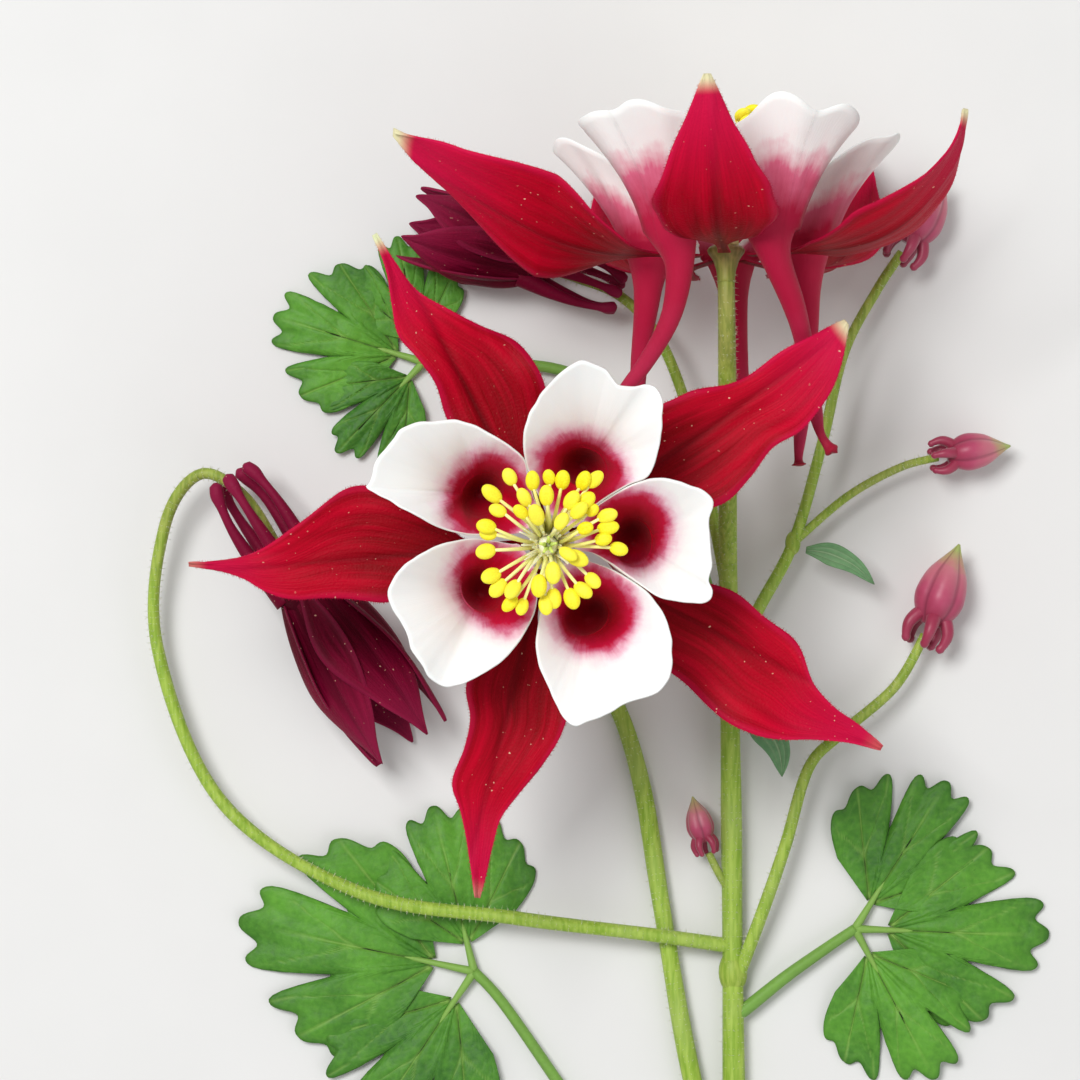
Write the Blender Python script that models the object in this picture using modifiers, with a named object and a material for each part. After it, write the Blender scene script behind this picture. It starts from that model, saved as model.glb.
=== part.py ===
"""A cut flowering stem of a red and white long-spurred columbine, lying on a flat surface.

The main bloom faces straight up and stands on the knobs of its five spurs. The stem runs along -Y
from it, and the upper bloom lies on its side at +Y. Lengths are in millimetres until a mesh is made.
"""

import math
import random

import bmesh
import bpy
from mathutils import Matrix, Vector

MM = 0.001

# Where the plant's own middle lies, seen from above, from the centre of the main bloom
PLANT_MIDDLE = (6.2, -33.8)

MAIN_HEIGHT = 31.0
TOP_CENTRE = (20.0, 34.0, 25.0)
TOP_AXIS_TILT = 8.0

SEPAL_THICKNESS = 0.8
PETAL_THICKNESS = 0.65
LEAF_THICKNESS = 0.7
CLAW_LEVEL = -1.7
RECEPTACLE_RADIUS = 2.3
DISC_RADIUS = 2.2
THROAT_DISTANCE = 9.2
THROAT_RADIUS = 3.0
CUT_END = (26.0, -118.0, 1.7)

CRIMSON = (0.42, 0.0, 0.012)
BURGUNDY = (0.16, 0.004, 0.02)
WHITE = (0.92, 0.93, 0.88)
YELLOW = (0.9, 0.75, 0.03)
STYLE_GREEN = (0.5, 0.62, 0.2)
STEM_GREEN = (0.2, 0.4, 0.04)
LEAF_GREEN = (0.07, 0.24, 0.03)
BUD_PINK = (0.45, 0.05, 0.1)

# Sepals of the main bloom: the way each points, its outline as rows of distance from the centre, right
# edge and left edge seen from the tip, then how much its tip rises and how much its edges fold up
MAIN_SEPALS = (
    (118, ((2.8, -1.35, 0.15), (8, -2.35, -1.0), (10.5, -3.6, 0.0), (13, -6.6, 2.6), (17, -8.4, 3.2),
           (21.5, -7.4, 2.6), (25, -4.9, 3.1), (28.3, -2.6, 3.8), (31.7, -0.5, 2.8), (35.5, 0.2, 1.5),
           (39.5, 0.5, 1.1)), 2.5, 0.10),
    (37, ((2.8, -0.95, 0.55), (8, -1.15, 0.25), (10.5, -2.6, 1.3), (13, -5.8, 4.3), (18, -7.9, 5.4),
          (22.5, -7.7, 4.2), (26.5, -6.4, 2.4), (30.5, -6.8, 1.7), (35, -5.5, 1.4), (38.3, -3.5, 0.9),
          (41.5, -0.6, 0.2)), 1.0, 0.16),
    (330, ((2.8, -0.85, 0.65), (8, -0.95, 0.4), (10.5, -1.9, 1.1), (13, -4.9, 4.3), (17, -5.6, 5.3),
           (21.5, -5.7, 5.6), (26.5, -7.1, 5.0), (30, -6.7, 4.1), (33.3, -5.8, 1.6), (36.7, -3.9, 0.3),
           (40, -2.3, 0.0), (43.5, -1.3, -0.7)), 0.5, 0.12),
    (259, ((2.8, -0.9, 0.6), (8, -1.05, 0.4), (10.5, -2.6, 1.9), (13, -5.0, 5.0), (17, -6.0, 5.8),
           (20.5, -4.9, 5.8), (24, -4.9, 4.2), (28, -5.5, 2.2), (31, -4.0, 0.7), (34, -2.7, 0.4),
           (37, -1.6, 0.3), (40.2, -0.5, 0.1)), -1.5, 0.14),
    (182, ((2.8, -0.75, 0.75), (8, -0.6, 0.8), (10.5, -1.9, 2.2), (13, -4.4, 4.6), (17, -6.6, 5.4),
           (20.5, -7.4, 5.3), (24, -6.2, 5.0), (28, -3.2, 5.0), (31.5, -0.9, 4.1), (34, 0.1, 2.6),
           (37, 0.5, 1.5), (40, 0.5, 1.0)), 1.5, 0.10),
)

# Petals of the main bloom: the way each points, its right and left half widths, how far its right corner,
# its notch and its left corner reach, then its spur's knob as distance from the axis and offset to the left
MAIN_PETALS = (
    (67.5, 7.1, 7.2, 19.5, 19.2, 20.5, (13.2, 0.0)),
    (0, 6.0, 6.8, 18.5, 17.6, 18.7, (13.6, 0.5)),
    (296, 7.0, 7.3, 20.1, 19.5, 19.6, (13.4, 1.5)),
    (217, 7.4, 6.8, 18.0, 18.3, 18.9, (13.8, -0.5)),
    (145, 6.5, 6.4, 19.6, 20.2, 20.9, (13.2, 0.0)),
)
SPUR_DEPTHS = (-5.5, -13.5, -22.0, -28.5, -MAIN_HEIGHT)

# The upper bloom's sepals: azimuth, length, half width, bend radius (0 is straight), roll, rise, fold
TOP_SEPALS = (
    (264, 36, 6.6, 17, 0, 0.0, 0.10),
    (192, 38, 7.4, 0, 34, 13.0, 0.06),
    (120, 36, 6.0, 13, 0, 0.0, 0.10),
    (48, 36, 6.0, 13, 0, 0.0, 0.10),
    (336, 36, 6.6, 17, 0, 0.0, 0.10),
)
BEND_START = 12.0
SEPAL_SHAPE = ((0.075, 0.11), (0.21, 0.11), (0.275, 0.33), (0.34, 0.7), (0.47, 0.98), (0.6, 0.95),
               (0.73, 0.72), (0.87, 0.36), (1.0, 0.06))

# The upper bloom's petals, each with the points of its spur after the throat: distance, offset, depth
TOP_PETALS = (
    (300, 7.0, 7.0, 19.6, 19.2, 19.8, ((8.8, 0.9, -3), (7.0, 4.5, -8), (5.2, 7.0, -12), (3.7, 9.3, -18.5),
                                       (3.4, 10.3, -21.5), (4.1, 11.5, -23.6))),
    (228, 7.0, 7.0, 19.8, 19.4, 19.6, ((8.1, 0.0, -4), (7.7, -1.7, -9.5), (8.2, -5.2, -14.5), (9.2, -8.1, -17.8),
                                       (9.8, -9.4, -19.2))),
    (156, 7.0, 7.0, 19.6, 19.0, 19.6, ((10.1, -1.0, -6), (11.7, -2.7, -12), (12.7, -4.4, -17), (12.8, -5.7, -20.5))),
    (84, 7.0, 7.0, 19.2, 19.0, 19.4, ((10.3, -0.3, -6), (12.6, -0.7, -13), (15.7, -1.0, -19), (17.7, -1.0, -23))),
    (12, 7.0, 7.0, 19.4, 19.0, 19.2, ((9.7, 1.4, -5), (10.5, 4.3, -11), (10.8, 7.5, -17), (10.9, 9.8, -22),
                                      (11.0, 10.1, -23.5))),
)

# One side of a petal's rim, from its notch round to the receptacle: distance from the bloom's axis,
# share of the half width, height
RIM = ((19.2, 0.0, 11.8), (20.0, 0.42, 12.2), (18.7, 0.8, 12.0), (16.0, 0.96, 11.3), (13.0, 1.0, 10.0),
       (10.2, 0.82, 8.0), (7.6, 0.52, 5.2), (5.0, 0.3, 1.8), (3.3, 0.0, 0.0))

# The spur's radius at shares of its length, knob last
SPUR_RADII = ((0.0, 3.65), (0.14, 2.4), (0.34, 1.6), (0.66, 1.1), (0.93, 0.8), (0.97, 1.05), (1.0, 0.6))
HOLLOW_SHARE = 0.24

# Stem, branches and pedicels: the points each passes through and its radius at either end
STEM = ((TOP_CENTRE[0], 31.0, 25.4), (20.1, 25, 24.9), (20.4, 12, 19.5), (20.8, -2, 10.5), (21.2, -16, 4.8),
        (21.5, -32, 2.4), (21.7, -50, 1.6), (21.9, -66, 1.5), (22.6, -84, 1.6), (24.4, -102, 1.8), CUT_END)
MAIN_PEDICEL = ((0, 0, MAIN_HEIGHT - 3.0), (0.1, -0.6, 24), (0.3, -2.8, 14), (1.2, -7.5, 5.6), (3.6, -13.0, 2.2),
                (7.9, -18.5, 1.4), (11.0, -28, 1.2), (13.3, -42, 1.2), (16.4, -60, 1.3), (20.2, -76, 1.5),
                (22.6, -84, 1.6))
LEFT_PEDICEL = ((21.7, -47, 1.8), (12, -45.5, 3.4), (-4, -43.5, 3.9), (-22, -40.5, 3.9), (-38, -30, 3.7),
                (-45.5, -12, 3.8), (-44.6, 2.0, 5.2), (-40.4, 8.2, 6.3), (-35.2, 5.6, 6.6), (-31.2, -0.6, 6.6))
BUD_PEDICEL = ((20.9, -6, 8.4), (18.6, 6, 7.4), (15.8, 17, 6.6), (12.6, 24.5, 6.1), (8.4, 28.9, 5.8),
               (3.6, 30.9, 5.8), (1.1, 31.7, 5.8))
RIGHT_UPPER = ((21.1, -14, 5.0), (24.7, -7.1, 5.2), (28.6, 0.4, 5.6), (31.8, 11.5, 6.0), (34.4, 22.2, 6.0),
               (38.2, 29.5, 5.4), (41.2, 34, 4.8))
RIGHT_SIDE = ((28.5, 0.2, 5.6), (34.8, 5.6, 5.4), (41, 9.0, 4.6), (45.5, 10.2, 4.0))
RIGHT_LOWER = ((21.7, -52, 1.6), (25.0, -43, 3.4), (27.7, -35, 4.2), (30.4, -26, 4.2), (34.2, -22, 4.0),
               (40.5, -16.5, 3.8), (44.0, -10.5, 3.6))
LOW_BUD_STALK = ((21.6, -41, 1.8), (20.0, -38.4, 2.6), (18.8, -36.0, 3.0))
BRANCHES = (
    (STEM, 0.95, 1.55, 20),
    (MAIN_PEDICEL, 0.95, 1.1, 18),
    (LEFT_PEDICEL, 0.85, 0.65, 17),
    (BUD_PEDICEL, 0.75, 0.55, 9),
    (RIGHT_UPPER, 0.75, 0.55, 9),
    (RIGHT_SIDE, 0.5, 0.45, 4),
    (RIGHT_LOWER, 0.8, 0.55, 9),
    (LOW_BUD_STALK, 0.5, 0.45, 3),
)

# Swellings where branches and leaves leave the stem, each flat below where it lies on the surface
SWOLLEN_NODES = (((22.4, -83.5, 1.6), (2.2, 3.2, 2.1)), ((21.7, -50.0, 1.5), (1.8, 2.6, 1.9)))

# Half-open blooms: place of the receptacle, the way each faces, sepal length, half width, spur length,
# then the steps along and across its sepals and its inner petals
LEFT_BLOOM = ((-28.6, -4.6, 6.6), (0.55, -0.83, 0.0), 23.5, 5.0, 15.0, (6, 2), (2, 1))
DARK_BLOOM = ((-2.0, 32.8, 5.8), (-0.94, 0.34, 0.0), 16.0, 4.2, 11.0, (4, 2), None)

# Their sepals' half widths at shares of the length, then their spurs as share of the length, distance from
# the axis and radius, both as shares of the half width
CLOSED_SEPAL_WIDTHS = ((0, 0.3), (0.25, 0.85), (0.5, 1.0), (0.75, 0.62), (1.0, 0.07))
CLOSED_SPUR = ((-0.05, 0.5, 0.3), (0.3, 0.64, 0.26), (0.65, 0.66, 0.2), (0.9, 0.54, 0.15), (0.97, 0.46, 0.18),
               (1.02, 0.4, 0.1))
HALF_STEP = math.radians(36)

# Small closed buds: where each sits, the way it points, its length
BUDS = {
    "bud_upper_right": ((41.9, 35.1, 4.7), (0.5, 0.87, -0.05), 9.0),
    "bud_right": ((46.6, 10.4, 3.9), (0.98, 0.15, -0.05), 7.5),
    "bud_lower_right": ((44.5, -9.3, 3.6), (0.35, 0.93, 0.0), 10.0),
    "bud_low": ((18.3, -34.7, 3.1), (-0.25, 0.96, 0.0), 5.5),
}

# Leaves: petiole points, then leaflets as azimuth, length, half width
LEAVES = {
    "leaf_lower_left": (
        ((19.4, -85.5, 1.6), (12, -78, 1.5), (3, -65.5, 1.3), (-5, -54, 1.2), (-8.6, -50, 1.1)),
        ((168, 28, 14), (104, 20, 10.5), (236, 24, 12))),
    "leaf_right": (
        ((23.6, -54, 1.5), (28, -50.5, 1.4), (33, -47, 1.2), (36, -45, 1.1)),
        ((-2, 23, 12), (58, 21, 10), (298, 20, 10))),
    "leaf_upper_left": (
        ((19.7, -8.6, 5.6), (17.4, -1, 2.8), (15.4, 7, 1.5), (10, 15.5, 1.1), (1, 20.6, 1.0), (-14.5, 21.4, 1.0)),
        ((163, 19, 9.5), (102, 15, 7), (226, 14.5, 7))),
}
LEAFLET_SPREAD = 74.0
BRACTS = {
    "bract_middle": ((22.9, -19.2, 5.0), ((22.9, -19.2), (25.4, -21.4), (26.9, -24.0), (27.3, -27.0)), 1.9),
    "bract_right": ((30.0, -0.6, 6.0), ((30.0, -0.6), (32.6, -1.0), (35.6, -2.4), (38, -4.6)), 1.3),
}

# The pistil's column as height and radius, then the line of each style that parts from it as distance from
# the axis and height, with its radius at each point
PISTIL_COLUMN = ((0.8, 0.72), (4.0, 0.8), (9.0, 0.7), (12.6, 0.6))
STYLE_LINE = ((0.3, 11.8), (0.62, 13.4), (1.0, 15.0))
STYLE_RADII = (0.26, 0.26, 0.2)

# A stamen's radii from its foot to the end of its anther
STAMEN_RADII = (0.36, 0.3, 0.3, 0.85, 0.4)

LEAF_LEVEL = 1.3
STEM_SIDES_RESOLUTION = 1
PETAL_WALL_STEPS = 3
SEPAL_STEPS = (11, 4)
LEAFLET_STEPS = (2, 12)
BRACT_STEPS = (7, 3)
BRACT_THICKNESS = 0.6
CLOSED_SHEET_THICKNESS = 0.7
SEED = 11


# Smooth lines through points set by hand

def hermite(before, start, end, after, share):
    return 0.5 * (
        2 * start
        + (end - before) * share
        + (2 * before - 5 * start + 4 * end - after) * share**2
        + (3 * start - before - 3 * end + after) * share**3
    )


def along(points, share):
    """The point at this share of the way along a smooth open line."""
    last = len(points) - 1
    place = min(max(share, 0.0), 1.0) * last
    i = min(int(place), last - 1)
    four = (points[max(i - 1, 0)], points[i], points[i + 1], points[min(i + 2, last)])
    return hermite(*map(Vector, four), place - i)


def round_loop(points, share):
    """The point at this share of the way round a smooth closed line."""
    place = (share % 1.0) * len(points)
    i = int(place)
    four = (points[(i + n) % len(points)] for n in (-1, 0, 1, 2))
    return hermite(*map(Vector, four), place - i)


def level(table, place):
    """The value at this place in a table of (place, value) rows, straight between rows."""
    for (start, low), (end, high) in zip(table, table[1:]):
        if place <= end:
            return low + (high - low) * (place - start) / (end - start)
    return table[-1][1]


def turned(azimuth):
    angle = math.radians(azimuth)
    return Vector((math.cos(angle), math.sin(angle), 0))


# Objects and materials

def clear_scene():
    for obj in list(bpy.data.objects):
        bpy.data.objects.remove(obj, do_unlink=True)


def plain_material(name, colour, roughness=0.5):
    material = bpy.data.materials.new(name)
    material.use_nodes = True
    shader = material.node_tree.nodes["Principled BSDF"]
    shader.inputs["Base Color"].default_value = (*colour, 1)
    shader.inputs["Roughness"].default_value = roughness
    shader.inputs["Metallic"].default_value = 0
    return material


def object_from(name, shape):
    """An object that holds this bmesh, scaled from millimetres."""
    bmesh.ops.scale(shape, vec=(MM, MM, MM), verts=shape.verts)
    mesh = bpy.data.meshes.new(name)
    shape.to_mesh(mesh)
    shape.free()
    obj = bpy.data.objects.new(name, mesh)
    bpy.context.scene.collection.objects.link(obj)
    return obj


def evaluated_copy(name, obj, close=True):
    """A plain mesh object of what this object's modifiers make, in place of it, its loose caps closed."""
    bpy.context.view_layer.update()
    graph = bpy.context.evaluated_depsgraph_get()
    mesh = bpy.data.meshes.new_from_object(obj.evaluated_get(graph), depsgraph=graph)
    if close:
        weld(mesh)
    bpy.data.objects.remove(obj, do_unlink=True)
    mesh.name = name
    made = bpy.data.objects.new(name, mesh)
    bpy.context.scene.collection.objects.link(made)
    return made


def weld(mesh):
    shape = bmesh.new()
    shape.from_mesh(mesh)
    bmesh.ops.remove_doubles(shape, verts=shape.verts, dist=0.002 * MM)
    bmesh.ops.recalc_face_normals(shape, faces=shape.faces)
    shape.to_mesh(mesh)
    shape.free()


def sheet(name, surface, steps_along, steps_across, thickness):
    """A thin solid on surface(share along, place across from -1 to 1)."""
    shape = bmesh.new()
    bmesh.ops.create_grid(shape, x_segments=steps_along, y_segments=steps_across, size=1)
    for vert in shape.verts:
        vert.co = surface((vert.co.x + 1) / 2, vert.co.y)
    bmesh.ops.triangulate(shape, faces=shape.faces)
    obj = object_from(name, shape)
    solid = obj.modifiers.new("thickness", "SOLIDIFY")
    solid.thickness = thickness * MM
    solid.offset = 0
    return evaluated_copy(name, obj)


def loft(name, rings):
    """A closed solid through rings of points that run the same way, with a flat cap at each end."""
    shape = bmesh.new()
    made = [[shape.verts.new(point) for point in ring] for ring in rings]
    for low, high in zip(made, made[1:]):
        for i in range(len(low)):
            j = (i + 1) % len(low)
            shape.faces.new((low[i], low[j], high[j], high[i]))
    shape.faces.new(made[0])
    shape.faces.new(made[-1])
    bmesh.ops.triangulate(shape, faces=shape.faces)
    bmesh.ops.recalc_face_normals(shape, faces=shape.faces)
    return object_from(name, shape)


def tube(name, points, radii, resolution):
    """A closed round tube through points, each with its own radius."""
    curve = bpy.data.curves.new(name, "CURVE")
    curve.dimensions = "3D"
    curve.bevel_depth = MM
    curve.bevel_resolution = resolution
    curve.use_fill_caps = True
    spline = curve.splines.new("POLY")
    spline.points.add(len(points) - 1)
    for item, point, radius in zip(spline.points, points, radii):
        item.co = (*(Vector(point) * MM), 1)
        item.radius = radius
    obj = bpy.data.objects.new(name, curve)
    bpy.context.scene.collection.objects.link(obj)
    return evaluated_copy(name, obj)


def ball(name, centre, radii, facing=(0, 0, 1)):
    shape = bmesh.new()
    bmesh.ops.create_uvsphere(shape, u_segments=10, v_segments=6, radius=1)
    turn = Vector((0, 0, 1)).rotation_difference(Vector(facing)).to_matrix().to_4x4()
    place = Matrix.Translation(centre) @ turn @ Matrix.Diagonal((*radii, 1))
    bmesh.ops.transform(shape, matrix=place, verts=shape.verts)
    return object_from(name, shape)


def disc(name, radius, low, high, place=Matrix.Identity(4)):
    shape = bmesh.new()
    bmesh.ops.create_cone(shape, cap_ends=True, segments=20, radius1=radius, radius2=radius, depth=high - low)
    bmesh.ops.translate(shape, vec=(0, 0, (low + high) / 2), verts=shape.verts)
    bmesh.ops.transform(shape, matrix=place, verts=shape.verts)
    return object_from(name, shape)


def fused(name, first, others):
    """One solid from the first piece and the others, which are then removed."""
    group = bpy.data.collections.new(name + "_pieces")
    bpy.context.scene.collection.children.link(group)
    for obj in others:
        bpy.context.scene.collection.objects.unlink(obj)
        group.objects.link(obj)
    union = first.modifiers.new("union", "BOOLEAN")
    union.operation = "UNION"
    union.operand_type = "COLLECTION"
    union.collection = group
    union.solver = "EXACT"
    made = evaluated_copy(name, first, close=False)
    for obj in list(group.objects):
        bpy.data.objects.remove(obj, do_unlink=True)
    bpy.data.collections.remove(group)
    return made


def settle(obj):
    """Lays flat on the surface whatever would sink into it."""
    for vert in obj.data.vertices:
        vert.co.z = max(vert.co.z, 0.0)


# Parts of a bloom, each in a frame whose Z is the way the bloom faces and whose X is the part's own way

def sepal_surface(rows, rise, fold, bend=0.0, roll=0.0):
    """The middle surface of a sepal from its outline rows."""
    length = rows[-1][0]

    def surface(share, across):
        reach, right, left = along(rows, share)
        half = (left - right) / 2
        side = (left + right) / 2 + across * half
        out = max(reach - BEND_START, 0.0) / (length - BEND_START)
        height = CLAW_LEVEL + rise * out**1.5 + fold * abs(across) * half * min(out * 4, 1.0)
        height += 0.35 * math.sin(reach * 0.55 + across * 1.5) * out * abs(across)
        twist = math.radians(roll) * min(out * 3, 1.0)
        height += side * math.sin(twist)
        side *= math.cos(twist)
        if bend and reach > BEND_START:
            angle = (reach - BEND_START) / bend
            reach = BEND_START + bend * math.sin(angle) - (height - CLAW_LEVEL) * math.sin(angle)
            height = CLAW_LEVEL + bend * (1 - math.cos(angle)) + (height - CLAW_LEVEL) * math.cos(angle)
        return Vector((reach, side, height))

    return surface


def plain_rows(length, half_width):
    return [(share * length, -width * half_width, width * half_width) for share, width in SEPAL_SHAPE]


def petal_rim(petal):
    """The closed rim of a petal, from its notch round to the left."""
    _, half_right, half_left, corner_right, notch, corner_left, _ = petal
    sides = []
    for half, corner in ((half_left, corner_left), (-half_right, corner_right)):
        side = []
        for reach, share, height in RIM:
            outer = min(max((reach - 8) / 10, 0.0), 1.0)
            moved = reach + (corner - RIM[1][0]) * outer
            side.append(Vector((notch if share == 0 and reach > 10 else moved, share * half, height)))
        sides.append(side)
    left, right = sides
    return left + right[-2:0:-1]


def petal_wall(rim_point, share, offset):
    """A point on the wall from the rim (share 0) to the throat (share 1), moved outwards by the offset."""
    middle = Vector((THROAT_DISTANCE, 0, 0))
    out = Vector((rim_point.x - middle.x, rim_point.y, 0)).normalized()
    throat = middle + out * THROAT_RADIUS
    bow = throat + 0.2 * (Vector((rim_point.x, rim_point.y, 0)) - throat)
    bow.z = 0.52 * rim_point.z
    place = (1 - share) ** 2 * rim_point + 2 * share * (1 - share) * bow + share**2 * throat
    run = 2 * (1 - share) * (rim_point - bow) + 2 * share * (bow - throat)
    run_out = run.dot(out)
    run_up = max(run.z, 0.0)
    size = math.hypot(run_out, run_up) or 1.0
    return place + offset * (out * (run_up / size) - Vector((0, 0, run_out / size)))


def main_spur(knob):
    """The points of a spur of the main bloom after the throat, down to its knob on the surface."""
    reach, offset = knob
    shares = (0.1, 0.4, 0.76, 1.0, 1.0)
    return [
        (THROAT_DISTANCE + (reach - THROAT_DISTANCE) * share, offset * share, depth)
        for share, depth in zip(shares, SPUR_DEPTHS)
    ]


def spur_ring(points, share, radius, directions):
    """A ring round the spur's middle line, level at the throat and at the knob's end."""
    run = (along(points, min(share + 0.01, 1.0)) - along(points, max(share - 0.01, 0.0))).normalized()
    if share == 1.0:
        run = Vector((0, 0, -1))
    side = (Vector((0, 1, 0)) - run * run.y).normalized()
    out = run.cross(side)
    return [along(points, share) + radius * (out * way.x + side * way.y) for way in directions]


def petal_rings(petal):
    """The rings of a hollow petal and its spur, from the bottom of the hollow over the rim to the knob."""
    rim = petal_rim(petal)
    count = len(rim)
    edge = [round_loop(rim, i / count) for i in range(count)]
    ways = [Vector((p.x - THROAT_DISTANCE, p.y)).normalized() for p in edge]
    line = [(THROAT_DISTANCE, 0, 0), *petal[-1]]
    bottom = level(SPUR_RADII, HOLLOW_SHARE) - PETAL_THICKNESS
    inside = [spur_ring(line, HOLLOW_SHARE, bottom, ways)]
    steps = [i / PETAL_WALL_STEPS for i in range(PETAL_WALL_STEPS + 1)]
    inner_wall = [[petal_wall(p, share, 0.0) for p in edge] for share in reversed(steps)]
    outer_wall = [[petal_wall(p, share, PETAL_THICKNESS) for p in edge] for share in steps]
    spur = [spur_ring(line, share, radius, ways) for share, radius in SPUR_RADII[1:]]
    return inside + inner_wall + outer_wall + spur


def stamens(name, rings, seed):
    """A tuft of stamens on a small disc, each a slim tube that swells into its anther."""
    draw = random.Random(seed)
    pieces = []
    for count, base, reach, height in rings:
        for i in range(count):
            turn = 360 * (i + draw.uniform(-0.22, 0.22)) / count
            way = turned(turn + 17 * base)
            far = reach * draw.uniform(0.86, 1.12)
            top = height * draw.uniform(0.93, 1.07)
            bow = base + 0.16 * (far - base)
            points = [way * base - Vector((0, 0, 0.2))]
            for share in (0.5, 0.84):
                rest = 1 - share
                side = rest**2 * base + 2 * rest * share * bow + share**2 * (far - 1.6)
                points.append(way * side + Vector((0, 0, top * (1 - rest**2))))
            tip = way * far + Vector((0, 0, top + 0.25))
            points += [points[-1].lerp(tip, share) for share in (0.45, 1.0)]
            pieces.append(tube("stamen", points, STAMEN_RADII, 0))
    return fused(name, disc("disc", DISC_RADIUS, -0.7, 0.5), pieces)


def pistil(name):
    """Five styles grown together in a column and parting at their tips."""
    rings = [
        [turned(36 * i) * radius * (1.0 if i % 2 else 0.8) + Vector((0, 0, height)) for i in range(10)]
        for height, radius in PISTIL_COLUMN
    ]
    styles = []
    for i in range(5):
        way = turned(72 * i + 36)
        points = [way * side + Vector((0, 0, height)) for side, height in STYLE_LINE]
        styles.append(tube("style", points, STYLE_RADII, 0))
    return fused(name, loft("column", rings), styles)


def place_on(parent, obj, azimuth=0.0):
    obj.parent = parent
    obj.rotation_euler = (0, 0, math.radians(azimuth))


def bloom_centre(name, centre, facing_up):
    """An empty at a bloom's centre, whose Z is the way the bloom faces."""
    empty = bpy.data.objects.new(name, None)
    bpy.context.scene.collection.objects.link(empty)
    empty.location = Vector(centre) * MM
    if not facing_up:
        empty.rotation_euler = (math.radians(-90 - TOP_AXIS_TILT), 0, 0)
    return empty


def build_bloom(prefix, centre, sepals, petals, stamen_rings, seed):
    nodes = []
    for i, (azimuth, surface) in enumerate(sepals, 1):
        obj = sheet(f"{prefix}_sepal_{i}", surface, *SEPAL_STEPS, SEPAL_THICKNESS)
        nodes.append((obj, "crimson", azimuth))
    for i, petal in enumerate(petals, 1):
        obj = loft(f"{prefix}_petal_{i}", petal_rings(petal))
        nodes.append((obj, "white", petal[0]))
    nodes.append((stamens(f"{prefix}_stamens", stamen_rings, seed), "yellow", 0))
    nodes.append((pistil(f"{prefix}_pistil"), "style", 0))
    for obj, _, azimuth in nodes:
        place_on(centre, obj, azimuth)
    return [(obj, slot) for obj, slot, _ in nodes]


# Blooms that are still closed

def facing_frame(centre, facing):
    turn = Vector((0, 0, 1)).rotation_difference(Vector(facing).normalized())
    return Matrix.Translation(centre) @ turn.to_matrix().to_4x4()


def half_open_bloom(name, spec, seed):
    """Sepals folded forward over the petals, with the spurs behind, grown on one small core."""
    centre, facing, length, half_width, spur, sepal_steps, petal_steps = spec
    frame = facing_frame(centre, facing)
    draw = random.Random(seed)
    pieces = []
    for i in range(5):
        way = turned(72 * i + 20)
        side = Vector((-way.y, way.x, 0))
        spread = draw.uniform(0.75, 1.15)

        def sepal(share, across, way=way, side=side, spread=spread):
            width = half_width * level(CLOSED_SEPAL_WIDTHS, share)
            out = half_width * (0.45 + spread * math.sin(1.9 * share) * 0.62) - 0.22 * width * across**2
            return frame @ (way * out + side * width * across + Vector((0, 0, -1.0 + length * share)))

        def petal(share, across, way=way, side=side):
            width = half_width * level(((0, 0.2), (0.5, 0.42), (1.0, 0.36)), share)
            out = half_width * (0.3 + 0.28 * math.sin(2.2 * share)) - 0.3 * width * across**2
            about = Matrix.Rotation(HALF_STEP, 3, "Z")
            place = about @ (way * out + side * width * across)
            return frame @ (place + Vector((0, 0, length * 0.62 * share - 0.5)))

        pieces.append(sheet("sepal", sepal, *sepal_steps, CLOSED_SHEET_THICKNESS))
        if petal_steps:
            pieces.append(sheet("petal", petal, *petal_steps, CLOSED_SHEET_THICKNESS))
        about = Matrix.Rotation(HALF_STEP, 3, "Z")
        hook = draw.uniform(-0.8, 0.8)
        points = [
            frame @ (about @ (way * out + side * hook * share**2) + Vector((0, 0, -spur * share)))
            for share, out in ((share, half_width * width) for share, width, _ in CLOSED_SPUR)
        ]
        radii = [half_width * radius for _, _, radius in CLOSED_SPUR]
        pieces.append(tube("spur", points, radii, 0))
    core = ball("core", frame @ Vector((0, 0, 1.0)), (half_width * 0.72, half_width * 0.72, half_width * 0.8), facing)
    made = fused(name, core, pieces)
    settle(made)
    return made


def closed_bud(name, spec):
    """A small closed bud: five keels that meet in a point, with five short spurs behind."""
    centre, facing, length = spec
    frame = facing_frame(centre, facing)
    rings = []
    for share, width in ((0.0, 0.14), (0.3, 0.3), (0.6, 0.25), (0.82, 0.12), (1.0, 0.02)):
        ring = []
        for i in range(10):
            size = width * length * (1.0 if i % 2 == 0 else 0.84)
            ring.append(frame @ (turned(36 * i) * size + Vector((0, 0, length * share))))
        rings.append(ring)
    body = loft("body", rings)
    spurs = []
    for i in range(5):
        way = turned(72 * i + 36)
        points = [
            frame @ (way * out * length + Vector((0, 0, z * length)))
            for out, z in ((0.1, 0.16), (0.25, -0.04), (0.22, -0.26))
        ]
        spurs.append(tube("spur", points, [r * length / 9 for r in (0.8, 0.65, 0.4)], 0))
    made = fused(name, body, spurs)
    settle(made)
    return made


# Leaves

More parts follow.
